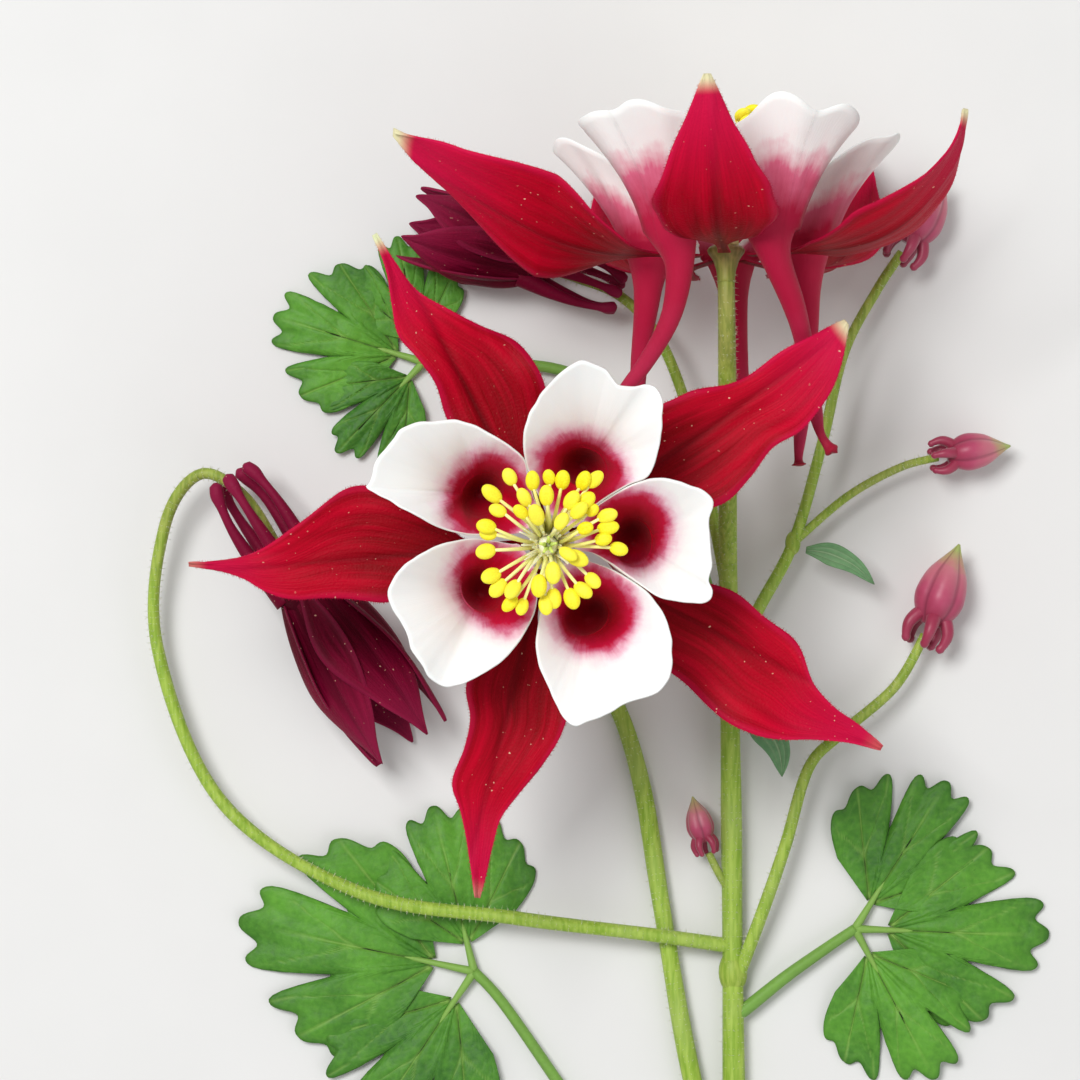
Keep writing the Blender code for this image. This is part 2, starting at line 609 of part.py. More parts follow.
def leaflet_surface(centre, azimuth, length, half_width):
    """A fan of rounded lobes: three main ones, each cut again at its edge."""
    spread = math.radians(LEAFLET_SPREAD)

    def surface(share, across):
        angle = across * spread
        lobes = 0.66 + 0.34 * abs(math.cos(1.5 * math.pi * across)) ** 0.6
        reach = 0.04 + 0.96 * share * lobes
        out = length * reach * (1 - 0.12 * (1 - math.cos(angle)))
        forward = out * math.cos(angle)
        side = out * math.sin(angle) * half_width / (length * math.sin(spread) * 0.86)
        height = LEAF_LEVEL - 1.0 + 0.9 * math.sin(math.pi * min(share * 1.05, 1.0)) * (0.6 + 0.4 * math.cos(3 * angle))
        height = max(height, LEAF_THICKNESS / 2)
        way = turned(azimuth)
        place = way * forward + Vector((-way.y, way.x, 0)) * side
        return Vector((centre[0] + place.x, centre[1] + place.y, height))

    return surface


def build_leaf(name, spec):
    petiole, leaflets = spec
    points = [along(petiole, i / 6) for i in range(7)]
    stalk = tube("petiole", points, [0.85 - 0.03 * i for i in range(7)], 0)
    pieces = []
    end = Vector(petiole[-1])
    for azimuth, length, half_width in leaflets:
        way = turned(azimuth)
        start = end + way * (0.16 * length)
        surface = leaflet_surface(start, azimuth, length * 0.84, half_width)
        pieces.append(sheet("leaflet", surface, *LEAFLET_STEPS, LEAF_THICKNESS))
        into = start + way * (0.12 * length)
        into.z = LEAF_THICKNESS
        pieces.append(tube("stalklet", (end, into), (0.6, 0.45), 0))
    made = fused(name, stalk, pieces)
    settle(made)
    return made


def build_bract(name, spec):
    """A narrow pointed leaf along a line."""
    start, line, half_width = spec
    middle = [(*point, 0) for point in line]

    def surface(share, across):
        here = along(middle, share)
        ahead = along(middle, min(share + 0.05, 1.0)) - along(middle, max(share - 0.05, 0.0))
        side = Vector((-ahead.y, ahead.x, 0)).normalized()
        width = half_width * level(((0, 0.3), (0.3, 1.0), (0.6, 0.8), (1.0, 0.12)), share)
        height = start[2] + 0.6 * math.sin(math.pi * share) - 0.5 * share + 0.25 * width * across**2
        return here + side * width * across + Vector((0, 0, height))

    return sheet(name, surface, *BRACT_STEPS, BRACT_THICKNESS)


# The stem with its branches

def build_stem(top_frame):
    tubes = []
    for points, thin, thick, steps in BRANCHES:
        line = [along(points, i / steps) for i in range(steps + 1)]
        radii = [thin + (thick - thin) * i / steps for i in range(steps + 1)]
        tubes.append(tube("branch", line, radii, STEM_SIDES_RESOLUTION))
    low, high = -3.4, -1.0
    main_place = Matrix.Translation((0, 0, MAIN_HEIGHT))
    tubes.append(disc("receptacle", RECEPTACLE_RADIUS, low, high, main_place))
    tubes.append(disc("receptacle", RECEPTACLE_RADIUS, low - 1.2, high, top_frame))
    for centre, radii in SWOLLEN_NODES:
        tubes.append(ball("node", centre, radii))
    made = fused("stem", tubes[0], tubes[1:])
    settle(made)
    return made


def main():
    clear_scene()
    slots = {
        "crimson": plain_material("sepal crimson", CRIMSON, 0.45),
        "burgundy": plain_material("half-open burgundy", BURGUNDY, 0.5),
        "white": plain_material("petal white", WHITE, 0.5),
        "yellow": plain_material("anther yellow", YELLOW, 0.6),
        "style": plain_material("style green", STYLE_GREEN, 0.5),
        "stem": plain_material("stem green", STEM_GREEN, 0.5),
        "leaf": plain_material("leaf green", LEAF_GREEN, 0.5),
        "bud": plain_material("bud pink", BUD_PINK, 0.5),
    }
    root = bpy.data.objects.new("plant_middle", None)
    bpy.context.scene.collection.objects.link(root)
    root.location = (-PLANT_MIDDLE[0] * MM, -PLANT_MIDDLE[1] * MM, 0)

    nodes = []
    main_centre = bloom_centre("main_bloom_centre", (0, 0, MAIN_HEIGHT), True)
    main_centre.parent = root
    main_sepals = [(azimuth, sepal_surface(rows, rise, fold)) for azimuth, rows, rise, fold in MAIN_SEPALS]
    main_petals = [(*petal[:-1], main_spur(petal[-1])) for petal in MAIN_PETALS]
    main_rings = ((7, 1.5, 4.6, 14.5), (10, 1.75, 6.6, 13.6), (12, 1.95, 8.4, 12.2))
    nodes += build_bloom("main", main_centre, main_sepals, main_petals, main_rings, SEED)

    top_centre = bloom_centre("top_bloom_centre", TOP_CENTRE, False)
    top_centre.parent = root
    top_sepals = [
        (azimuth, sepal_surface(plain_rows(length, half), rise, fold, bend, roll))
        for azimuth, length, half, bend, roll, rise, fold in TOP_SEPALS
    ]
    top_rings = ((4, 1.5, 3.6, 14.5), (8, 1.85, 6.2, 13.2))
    nodes += build_bloom("top", top_centre, top_sepals, TOP_PETALS, top_rings, SEED + 1)

    bpy.context.view_layer.update()
    top_frame = Matrix.Translation(Vector(TOP_CENTRE)) @ top_centre.rotation_euler.to_matrix().to_4x4()
    plant = [(build_stem(top_frame), "stem")]
    plant.append((half_open_bloom("left_bloom", LEFT_BLOOM, SEED + 2), "burgundy"))
    plant.append((half_open_bloom("dark_bloom", DARK_BLOOM, SEED + 3), "burgundy"))
    plant += [(closed_bud(name, spec), "bud") for name, spec in BUDS.items()]
    plant += [(build_leaf(name, spec), "leaf") for name, spec in LEAVES.items()]
    plant += [(build_bract(name, spec), "leaf") for name, spec in BRACTS.items()]
    for obj, _ in plant:
        obj.parent = root
    nodes += plant

    columbine = bpy.data.collections.new("columbine")
    bpy.context.scene.collection.children.link(columbine)
    for obj, slot in nodes:
        obj.data.materials.clear()
        obj.data.materials.append(slots[slot])
        bpy.context.scene.collection.objects.unlink(obj)
        columbine.objects.link(obj)


main()
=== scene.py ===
import math

import bpy
import numpy as np
from mathutils import Matrix, Vector


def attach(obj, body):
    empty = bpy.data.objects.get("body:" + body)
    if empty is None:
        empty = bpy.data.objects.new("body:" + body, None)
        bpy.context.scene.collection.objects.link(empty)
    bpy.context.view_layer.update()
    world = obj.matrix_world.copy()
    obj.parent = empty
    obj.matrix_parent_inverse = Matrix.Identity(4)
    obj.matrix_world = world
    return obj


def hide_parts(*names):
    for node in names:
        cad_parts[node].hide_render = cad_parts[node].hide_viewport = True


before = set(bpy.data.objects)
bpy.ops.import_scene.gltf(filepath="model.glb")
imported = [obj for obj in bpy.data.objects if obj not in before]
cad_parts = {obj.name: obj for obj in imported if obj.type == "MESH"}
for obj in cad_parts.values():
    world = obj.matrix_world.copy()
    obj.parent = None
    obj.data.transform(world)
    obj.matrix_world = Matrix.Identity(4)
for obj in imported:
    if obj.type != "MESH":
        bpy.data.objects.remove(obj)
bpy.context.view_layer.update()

MM = 0.001
UP = np.array([0, 0, 1.0])
WAVE_COUNT = 7

# Azimuth of the first of five like parts, and the step from one to the next, in degrees
FIRST_WAY = 20
FIFTH = 72

# Where the plant's own middle lies, seen from above, from the centre of the main bloom, in millimetres
PLANT_MIDDLE = (6.2, -33.8)
MAIN_HEIGHT = 31.0
TOP_CENTRE = (20.0, 34.0, 25.0)
TOP_AXIS_TILT = 8.0
MAIN_FRAME = Matrix.Translation((0, 0, MAIN_HEIGHT))
TOP_FRAME = Matrix.Translation(TOP_CENTRE) @ Matrix.Rotation(math.radians(-90 - TOP_AXIS_TILT), 4, "X")

# Meshes: how a sheet thins towards its edges, how near a ball's rings come to its ends, and the rows and
# columns of sepals and leaflets
EDGE_POWER = 14
THINNEST = 0.03
BALL_END = math.pi / 2 - 0.05
SEPAL_GRID = (120, 36)
LEAFLET_GRID = (36, 120)
STEM_SIDES = 16

# Hairs: radius at the foot, how unevenly they lean, shortest and longest
HAIR_RADIUS = 0.022
HAIR_LEAN = 0.35
SEPAL_HAIRS = (0.12, 0.36)
STEM_HAIRS = (0.25, 0.6)

# Sepals of the main bloom: the way each points, how much its tip rises, how much its edges fold up, how
# pale its tip is, and its outline as rows of distance from the centre, right edge and left edge
MAIN_SEPALS = (
    (118, 2.5, 0.10, 1.0, (
        (2.8, -1.35, 0.15), (8, -2.35, -1.0), (10.5, -3.6, 0.0), (13, -6.6, 2.6), (17, -8.4, 3.2),
        (21.5, -7.4, 2.6), (25, -4.9, 3.1), (28.3, -2.6, 3.8), (31.7, -0.5, 2.8), (35.5, 0.2, 1.5),
        (39.5, 0.5, 1.1),
    )),
    (37, 1.0, 0.16, 0.8, (
        (2.8, -0.95, 0.55), (8, -1.15, 0.25), (10.5, -2.6, 1.3), (13, -5.8, 4.3), (18, -7.9, 5.4),
        (22.5, -7.7, 4.2), (26.5, -6.4, 2.4), (30.5, -6.8, 1.7), (35, -5.5, 1.4), (38.3, -3.5, 0.9),
        (41.5, -0.6, 0.2),
    )),
    (330, 0.5, 0.12, 0.1, (
        (2.8, -0.85, 0.65), (8, -0.95, 0.4), (10.5, -1.9, 1.1), (13, -4.9, 4.3), (17, -5.6, 5.3),
        (21.5, -5.7, 5.6), (26.5, -7.1, 5.0), (30, -6.7, 4.1), (33.3, -5.8, 1.6), (36.7, -3.9, 0.3),
        (40, -2.3, 0.0), (43.5, -1.3, -0.7),
    )),
    (259, -1.5, 0.14, 0.2, (
        (2.8, -0.9, 0.6), (8, -1.05, 0.4), (10.5, -2.6, 1.9), (13, -5.0, 5.0), (17, -6.0, 5.8),
        (20.5, -4.9, 5.8), (24, -4.9, 4.2), (28, -5.5, 2.2), (31, -4.0, 0.7), (34, -2.7, 0.4),
        (37, -1.6, 0.3), (40.2, -0.5, 0.1),
    )),
    (182, 1.5, 0.10, 0.2, (
        (2.8, -0.75, 0.75), (8, -0.6, 0.8), (10.5, -1.9, 2.2), (13, -4.4, 4.6), (17, -6.6, 5.4),
        (20.5, -7.4, 5.3), (24, -6.2, 5.0), (28, -3.2, 5.0), (31.5, -0.9, 4.1), (34, 0.1, 2.6),
        (37, 0.5, 1.5), (40, 0.5, 1.0),
    )),
)

# The upper bloom's sepals: azimuth, length, half width, bend radius (0 is straight), roll, rise, fold;
# their shared outline as shares of length and half width
TOP_SEPALS = (
    (264, 36, 6.6, 17, 0, 0.0, 0.10), (192, 38, 7.4, 0, 34, 13.0, 0.06), (120, 36, 6.0, 13, 0, 0.0, 0.10),
    (48, 36, 6.0, 13, 0, 0.0, 0.10), (336, 36, 6.6, 17, 0, 0.0, 0.10),
)
SEPAL_SHAPE = (
    (0.075, 0.11), (0.21, 0.11), (0.275, 0.33), (0.34, 0.7), (0.47, 0.98), (0.6, 0.95), (0.73, 0.72),
    (0.87, 0.36), (1.0, 0.06),
)
SEPAL_THICKNESS = 0.36
BEND_START = 12.0
CLAW_LEVEL = -1.7

# Petals of the main bloom: the way each points, its spur's knob as distance from the axis and offset to
# the left, and its rim seen from above, from the base of its right side round its tip
MAIN_PETALS = (
    (67.5, (13.2, 0.0), (
        (3.0, 2.0), (5.4, 4.7), (8.6, 6.7), (10.5, 7.4), (11.4, 8.4), (12.0, 10.3), (12.4, 12.0),
        (12.5, 13.9), (12.6, 15.6), (12.0, 17.1), (11.0, 17.7), (9.4, 17.5), (7.9, 17.6), (7.0, 18.5),
        (6.3, 19.4), (5.1, 19.9), (3.6, 20.3), (1.8, 19.3), (0.2, 17.8), (-1.0, 16.2), (-2.1, 14.2),
        (-2.6, 11.7), (-2.3, 9.2), (-1.3, 6.4), (0.4, 3.4),
    )),
    (0, (13.6, 0.5), (
        (3.1, -0.4), (5.2, -0.9), (7.2, -2.0), (9.1, -3.4), (11.1, -4.9), (12.2, -5.6), (13.6, -6.0),
        (15.5, -6.3), (16.9, -6.4), (17.8, -5.9), (18.1, -5.0), (17.7, -3.9), (18.0, -2.2), (17.9, -0.8),
        (17.8, 1.1), (17.7, 2.8), (18.2, 4.3), (17.9, 5.2), (16.9, 6.1), (15.2, 6.7), (13.6, 7.2),
        (11.9, 7.3), (10.2, 6.9), (8.6, 6.2), (6.6, 5.0), (4.7, 3.6), (3.3, 1.5),
    )),
    (296, (13.4, 1.5), (
        (0.3, -3.2), (-0.2, -5.4), (-0.7, -7.8), (-1.0, -9.4), (-1.2, -11.1), (-0.9, -13.1), (-0.2, -15.0),
        (0.7, -16.9), (1.6, -18.9), (2.9, -19.9), (4.1, -19.5), (5.8, -18.9), (7.4, -18.1), (9.1, -17.2),
        (10.8, -16.8), (12.2, -16.1), (13.2, -15.0), (13.6, -13.6), (13.6, -11.7), (13.4, -9.7),
        (12.9, -8.1), (12.0, -6.7), (10.9, -5.3), (9.2, -4.1), (7.2, -2.9), (5.0, -2.0), (3.0, -1.5),
    )),
    (217, (13.8, -0.5), (
        (-3.0, -0.2), (-4.3, 0.1), (-6.4, 0.4), (-8.4, 0.6), (-10.3, 0.3), (-12.0, -0.1), (-13.9, -1.0),
        (-15.7, -2.2), (-16.8, -3.5), (-17.5, -4.7), (-17.6, -5.9), (-17.1, -7.2), (-16.1, -8.6),
        (-15.4, -10.1), (-15.0, -11.7), (-13.9, -13.1), (-13.1, -14.6), (-11.4, -15.6), (-9.2, -15.1),
        (-7.3, -14.1), (-5.3, -12.8), (-3.7, -11.1), (-2.6, -9.4), (-1.7, -7.6), (-1.3, -5.8), (-1.2, -3.4),
    )),
    (145, (13.2, 0.0), (
        (-0.9, 3.2), (-1.8, 5.6), (-2.4, 8.0), (-2.8, 9.5), (-4.2, 10.8), (-5.9, 11.9), (-7.6, 12.9),
        (-9.5, 13.6), (-11.2, 13.8), (-12.8, 13.6), (-14.5, 13.5), (-16.0, 13.0), (-16.9, 11.9),
        (-17.8, 10.8), (-18.8, 9.7), (-19.3, 8.3), (-19.6, 7.0), (-20.1, 6.4), (-19.1, 5.8), (-17.8, 5.1),
        (-16.2, 4.2), (-14.2, 3.2), (-12.3, 2.2), (-10.3, 1.6), (-8.4, 1.3), (-6.0, 1.4), (-3.2, 1.4),
    )),
)
SEEN_HIGHER = 0.98
MAIN_RIM_POINTS = 140

# Height of a petal's rim at distances from the bloom's axis
RIM_HEIGHTS = (
    (3.0, 0.6), (5.0, 1.8), (7.6, 5.2), (10.2, 8.0), (13.0, 10.0), (16.0, 11.3), (18.7, 12.0), (21.0, 12.2),
)

# The upper bloom's petals: azimuth, how far its right corner, notch and left corner reach, and the points
# of its spur after the throat as distance, offset and depth; the shared rim as reach, share of the half
# width and height
TOP_PETALS = (
    (
        300,
        (19.6, 19.2, 19.8),
        (
            (8.8, 0.9, -3), (7.0, 4.5, -8), (5.2, 7.0, -12), (3.7, 9.3, -18.5), (3.4, 10.3, -21.5),
            (4.1, 11.5, -23.6),
        ),
    ),
    (
        228,
        (19.8, 19.4, 19.6),
        ((8.1, 0.0, -4), (7.7, -1.7, -9.5), (8.2, -5.2, -14.5), (9.2, -8.1, -17.8), (9.8, -9.4, -19.2)),
    ),
    (
        156,
        (19.6, 19.0, 19.6),
        ((10.1, -1.0, -6), (11.7, -2.7, -12), (12.7, -4.4, -17), (12.8, -5.7, -20.5)),
    ),
    (84, (19.2, 19.0, 19.4), ((10.3, -0.3, -6), (12.6, -0.7, -13), (15.7, -1.0, -19), (17.7, -1.0, -23))),
    (
        12,
        (19.4, 19.0, 19.2),
        ((9.7, 1.4, -5), (10.5, 4.3, -11), (10.8, 7.5, -17), (10.9, 9.8, -22), (11.0, 10.1, -23.5)),
    ),
)
RIM = (
    (19.2, 0.0, 11.8), (20.0, 0.42, 12.2), (18.7, 0.8, 12.0), (16.0, 0.96, 11.3), (13.0, 1.0, 10.0),
    (10.2, 0.82, 8.0), (7.6, 0.52, 5.2), (5.0, 0.3, 1.8), (3.3, 0.0, 0.0),
)
TOP_HALF_WIDTH = 7.0
TOP_RIM_POINTS = 100

# Crimson zone of each petal of the main bloom in its own frame: place of the dark core of painted shade,
# place of the zone, how far it runs outwards and inwards, its half width
MAIN_ZONES = (
    ((10.2, -0.4), (8.8, -0.3), 3.3, 4.3, 4.1),
    ((9.4, 1.7), (9.4, 1.7), 3.4, 4.6, 3.5),
    ((8.9, 1.9), (9.0, 1.4), 3.6, 4.3, 3.7),
    ((8.6, -0.6), (7.6, 0.2), 3.2, 3.8, 4.3),
    ((9.2, -0.8), (8.5, -0.5), 3.6, 4.2, 4.1),
)
TOP_ZONE = ((9.2, 0.0), (8.6, 0.0), 3.8, 3.6, 4.1)

# Throat, hollow and spur of a petal. The inner throat moves towards the dark core by no more than its
# shift. Radii are at shares of the spur's length, and the hollow's are shares of the inner throat
THROAT_DISTANCE = 9.2
THROAT_RADIUS = 3.0
INNER_THROAT = 2.35
THROAT_SHIFT = np.array([0.3, 0.4, 0.0])
PETAL_THICKNESS = 0.24
HOLLOW_END = 0.17
HOLLOW_RADII = ((0.0, 1.0), (0.04, 0.93), (0.09, 0.78), (0.13, 0.56), (HOLLOW_END, 0.12))
SPUR_RADII = (
    (0.0, 3.0), (0.06, 2.75), (0.14, 2.2), (0.34, 1.5), (0.66, 1.02), (0.93, 0.74), (0.97, 1.0),
    (1.0, 0.55),
)
SPUR_SIZES = {"main": 1.0, "top": 0.82}

# Spurs of the main bloom: share of the way to the knob, depth
SPUR_DEPTHS = ((0.1, -5.5), (0.4, -13.5), (0.76, -22.0), (1.0, -28.5), (1.0, -MAIN_HEIGHT))

# Rings of a petal's mesh: hollow, inside, outside, spur, knob
PETAL_RINGS = (12, 36, 18, 24, 8)

# Anthers of the main bloom: places seen from above, each with its share of the tallest height; those of
# the upper bloom as rings of count, distance and share
ANTHERS = (
    (-4.2, 7.4, 0.92), (-6.1, 5.6, 0.9), (-5.4, 3.9, 0.94), (-6.5, 1.3, 0.9), (-6.7, 2.1, 0.95),
    (-6.8, -0.6, 0.9), (-6.2, -3.4, 0.88), (-5.5, -4.6, 0.86), (-3.9, -4.8, 0.9), (-4.1, -6.4, 0.84),
    (-2.9, -6.7, 0.8), (-0.3, -6.5, 0.86), (0.6, -5.8, 0.84), (2.6, -5.8, 0.86), (3.7, -5.0, 0.88),
    (4.9, -3.8, 0.84), (7.7, -0.3, 0.82), (6.0, 0.6, 0.86), (6.5, 2.0, 0.86), (6.4, 3.3, 0.88),
    (4.8, 3.8, 0.9), (4.1, 4.9, 0.93), (5.0, 7.2, 0.86), (3.9, 7.0, 0.88), (2.5, 4.9, 0.96),
    (1.6, 7.1, 0.9), (0.2, 7.4, 0.9), (-1.8, 7.0, 0.95), (-2.6, 5.2, 0.97), (-2.9, 3.7, 1.0),
    (-0.2, 5.4, 1.0), (3.3, 3.8, 0.98), (4.0, 1.9, 0.98), (-1.3, 3.3, 1.02), (3.1, -1.4, 0.95),
    (-1.1, -4.4, 0.94), (0.6, -3.0, 0.98), (2.2, -0.9, 1.02), (1.4, 2.6, 1.04),
)
TOP_TUFT = ((8, 3.4, 1.0), (11, 5.4, 0.93), (14, 6.8, 0.86))
STAMEN_HEIGHT = 14.55
FILAMENT_POINTS = 16
ANTHER_HALF = 0.55

# Pistil: a style as distance and height, its radii, and the number of papery scales
STYLE_LINE = ((0.3, 0.2), (0.45, 3.5), (0.4, 8), (0.42, 11), (0.55, 12.4), (0.9, 13.2))
STYLE_RADII = ((0, 0.5), (0.25, 0.5), (0.5, 0.36), (0.85, 0.25), (1.0, 0.15))
STYLE_POINTS = 22
SCALES = 30
SCALE_MASK = (0.5, 1.0, 0, 0)

# Stem, branches and pedicels: the points each passes through
STEM = (
    (20.0, 31.0, 25.4), (20.1, 25, 24.9), (20.4, 12, 19.5), (20.8, -2, 10.5), (21.2, -16, 4.8),
    (21.5, -32, 2.4), (21.7, -50, 1.6), (21.9, -66, 1.5), (22.6, -84, 1.6), (24.4, -102, 1.8),
    (26.0, -118.0, 1.7),
)
MAIN_PEDICEL = (
    (0, 0, MAIN_HEIGHT - 3.0), (0.1, -0.6, 24), (0.3, -2.8, 14), (1.2, -7.5, 5.6), (3.6, -13.0, 2.2),
    (7.9, -18.5, 1.4), (11.0, -28, 1.2), (13.3, -42, 1.2), (16.4, -60, 1.3), (20.2, -76, 1.5),
    (22.6, -84, 1.6),
)
LEFT_PEDICEL = (
    (21.7, -47, 1.8), (12, -45.5, 3.4), (-4, -43.5, 3.9), (-22, -40.5, 3.9), (-38, -30, 3.7),
    (-45.5, -12, 3.8), (-44.6, 2.0, 5.2), (-40.4, 8.2, 6.3), (-35.2, 5.6, 6.6), (-31.2, -0.6, 6.6),
)
BUD_PEDICEL = (
    (20.9, -6, 8.4), (18.6, 6, 7.4), (15.8, 17, 6.6), (12.6, 24.5, 6.1), (8.4, 28.9, 5.8), (3.6, 30.9, 5.8),
    (1.1, 31.7, 5.8),
)
RIGHT_UPPER = (
    (21.1, -14, 5.0), (24.7, -7.1, 5.2), (28.6, 0.4, 5.6), (31.8, 11.5, 6.0), (34.4, 22.2, 6.0),
    (38.2, 29.5, 5.4), (41.2, 34, 4.8),
)
RIGHT_SIDE = ((28.5, 0.2, 5.6), (34.8, 5.6, 5.4), (41, 9.0, 4.6), (45.5, 10.2, 4.0))
RIGHT_LOWER = (
    (21.7, -52, 1.6), (25.0, -43, 3.4), (27.7, -35, 4.2), (30.4, -26, 4.2), (34.2, -22, 4.0),
    (40.5, -16.5, 3.8), (44.0, -10.5, 3.6),
)
LOW_BUD_STALK = ((21.6, -41, 1.8), (20.0, -38.4, 2.6), (18.8, -36.0, 3.0))

# Each with its radius at either end, and how purple either end is
BRANCHES = (
    (STEM, 0.95, 1.5, 0.45, 0.0), (MAIN_PEDICEL, 0.95, 1.1, 0.5, 0.0), (LEFT_PEDICEL, 0.85, 0.65, 0.0, 0.7),
    (BUD_PEDICEL, 0.75, 0.55, 0.0, 0.5), (RIGHT_UPPER, 0.75, 0.55, 0.0, 0.35),
    (RIGHT_SIDE, 0.5, 0.45, 0.0, 0.3), (RIGHT_LOWER, 0.8, 0.55, 0.0, 0.3),
    (LOW_BUD_STALK, 0.5, 0.45, 0.0, 0.2),
)
SWOLLEN_NODES = (
    ((22.4, -83.5, 1.7), (2.1, 3.2, 1.6)), ((21.7, -50.0, 1.6), (1.7, 2.6, 1.5)),
    ((21.2, -16.0, 4.8), (1.5, 2.2, 1.5)), ((28.5, 0.2, 5.6), (0.9, 1.4, 0.9)),
)
RECEPTACLE_RADII = ((0, 0.95), (0.35, 1.1), (0.65, 1.5), (0.9, 2.2), (1, 1.9))

# Half-open blooms: place, the way each faces, sepal length, half width, spur length
LEFT_BLOOM = ((-28.6, -4.6, 6.6), (0.55, -0.83, 0.0), 23.5, 5.0, 15.0)
DARK_BLOOM = ((-2.0, 32.8, 5.8), (-0.94, 0.34, 0.0), 16.0, 4.2, 11.0)

# The widths of their sepals and petals, and their spurs as share of the length and distance from the
# axis, with the spurs' radii, all in half widths
CLOSED_SEPAL = ((0, 0.3), (0.12, 0.6), (0.3, 0.92), (0.5, 1.0), (0.75, 0.6), (0.9, 0.22), (1.0, 0.02))
CLOSED_PETAL = ((0, 0.2), (0.4, 0.44), (0.8, 0.46), (1.0, 0.3))
CLOSED_SPUR = ((-0.05, 0.5), (0.3, 0.64), (0.65, 0.66), (0.9, 0.54), (0.97, 0.46), (1.02, 0.4))
CLOSED_SPUR_RADII = ((0, 0.3), (0.2, 0.23), (0.5, 0.15), (0.8, 0.11), (0.94, 0.16), (0.985, 0.12),
                     (1.0, 0.04))
SPUR_POINTS = 44

# Small closed buds: where each sits, the way it points, its length; their shape and spurs in lengths
BUDS = {
    "bud_upper_right": ((41.9, 35.1, 4.7), (0.5, 0.87, -0.05), 9.0),
    "bud_right": ((46.6, 10.4, 3.9), (0.98, 0.15, -0.05), 7.5),
    "bud_lower_right": ((44.5, -9.3, 3.6), (0.35, 0.93, 0.0), 10.0),
    "bud_low": ((18.3, -34.7, 3.1), (-0.25, 0.96, 0.0), 5.5),
}
BUD_SHAPE = ((0.0, 0.12), (0.12, 0.23), (0.3, 0.3), (0.45, 0.29), (0.6, 0.25), (0.82, 0.12), (0.93, 0.05),
             (1.0, 0.015))
BUD_SPUR = ((0.1, 0.16), (0.2, 0.05), (0.25, -0.06), (0.24, -0.18), (0.2, -0.27))
BUD_SPUR_RADII = ((0, 0.095), (0.5, 0.075), (0.85, 0.05), (0.92, 0.06), (1.0, 0.03))

# Leaves: petiole points, then leaflets as azimuth, length, half width
LEAVES = {
    "leaf_lower_left": (
        (
            (21.4, -86.9, 1.6), (19.4, -85.5, 1.6), (12, -78, 1.5), (3, -65.5, 1.3), (-5, -54, 1.2),
            (-8.6, -50, 1.1),
        ),
        ((168, 28, 14), (104, 20, 10.5), (236, 24, 12)),
    ),
    "leaf_right": (
        ((22.3, -54.9, 1.6), (23.6, -54, 1.5), (28, -50.5, 1.4), (33, -47, 1.2), (36, -45, 1.1)),
        ((-2, 23, 12), (58, 21, 10), (298, 20, 10)),
    ),
    "leaf_upper_left": (
        (
            (20.6, -10.2, 6.9), (19.7, -8.6, 5.6), (17.4, -1, 2.8), (15.4, 7, 1.5), (10, 15.5, 1.1),
            (1, 20.6, 1.0), (-14.5, 21.4, 1.0),
        ),
        ((163, 19, 9.5), (102, 15, 7), (226, 14.5, 7)),
    ),
}
LEAFLET_SPREAD = 74.0
LEAF_LEVEL = 1.3

# Across a leaflet, from -1 to 1: the clefts, and the steps between lobes and between teeth
CLEFT_PLACE = 0.333
LOBE_STEP = 0.667
TOOTH_STEP = 0.222

# Bracts: height, the line each follows, half width
BRACTS = {
    "bract_middle": (5.0, ((22.9, -19.2), (25.4, -21.4), (26.9, -24.0), (27.3, -27.0)), 1.9),
    "bract_right": (6.0, ((30.0, -0.6), (32.6, -1.0), (35.6, -2.4), (38, -4.6)), 1.3),
}
BRACT_SHAPE = ((0, 0.3), (0.3, 1.0), (0.6, 0.8), (0.9, 0.3), (1.0, 0.03))

# Lights: the way from the main bloom in metres, size, power
LIGHTS = (
    ("key", (-0.28, 0.26, 0.80), 0.35, 6.3),
    ("fill", (0.6, -0.5, 0.6), 0.8, 1.6),
)
WORLD_STRENGTH = 0.46
FLOOR_SIZE = 3.0

# Camera, in metres but for its sensor, and where it stands from the main bloom
SENSOR_WIDTH = 36
CAMERA_DISTANCE = 0.55
CAMERA_OFFSET = (-0.00089, 0.00056)
FRAME_WIDTH = 0.120


# Lines, waves and frames

def shares(count):
    return np.linspace(0, 1, count)


def turns(count):
    return np.linspace(0, 2 * math.pi, count, endpoint=False)


def grid(rows, columns):
    """Shares 0 to 1 down the rows, and -1 to 1 across the columns."""
    return shares(rows)[:, None], np.linspace(-1, 1, columns)[None, :]


def stacked(*parts):
    return np.stack(np.broadcast_arrays(*parts), axis=-1)


def mask(red, green=0.0, blue=0.0, alpha=0.0):
    """Four values for each point, which the materials read."""
    return stacked(red, green, blue, alpha)


def unit(way):
    """A way, or each row's way, at length 1."""
    return way / np.linalg.norm(way, axis=-1, keepdims=True)


def cubic(before, start, end, after, part):
    return 0.5 * (2 * start + (end - before) * part + (2 * before - 5 * start + 4 * end - after) * part**2
                  + (3 * start - before - 3 * end + after) * part**3)


def spline(points, places):
    """Points at these shares of the way along a smooth open line."""
    points = np.array(points, float)
    last = len(points) - 1
    place = np.clip(np.asarray(places, float), 0, 1) * last
    i = np.minimum(place.astype(int), last - 1)
    before, after = points[np.maximum(i - 1, 0)], points[np.minimum(i + 2, last)]
    return cubic(before, points[i], points[i + 1], after, (place - i)[:, None])


def round_spline(points, places):
    """Points at these shares of the way round a smooth closed line."""
    points = np.array(points, float)
    count = len(points)
    place = (np.asarray(places, float) % 1.0) * count
    i = place.astype(int) % count
    part = (place - np.floor(place))[:, None]
    return cubic(points[i - 1], points[i], points[(i + 1) % count], points[(i + 2) % count], part)


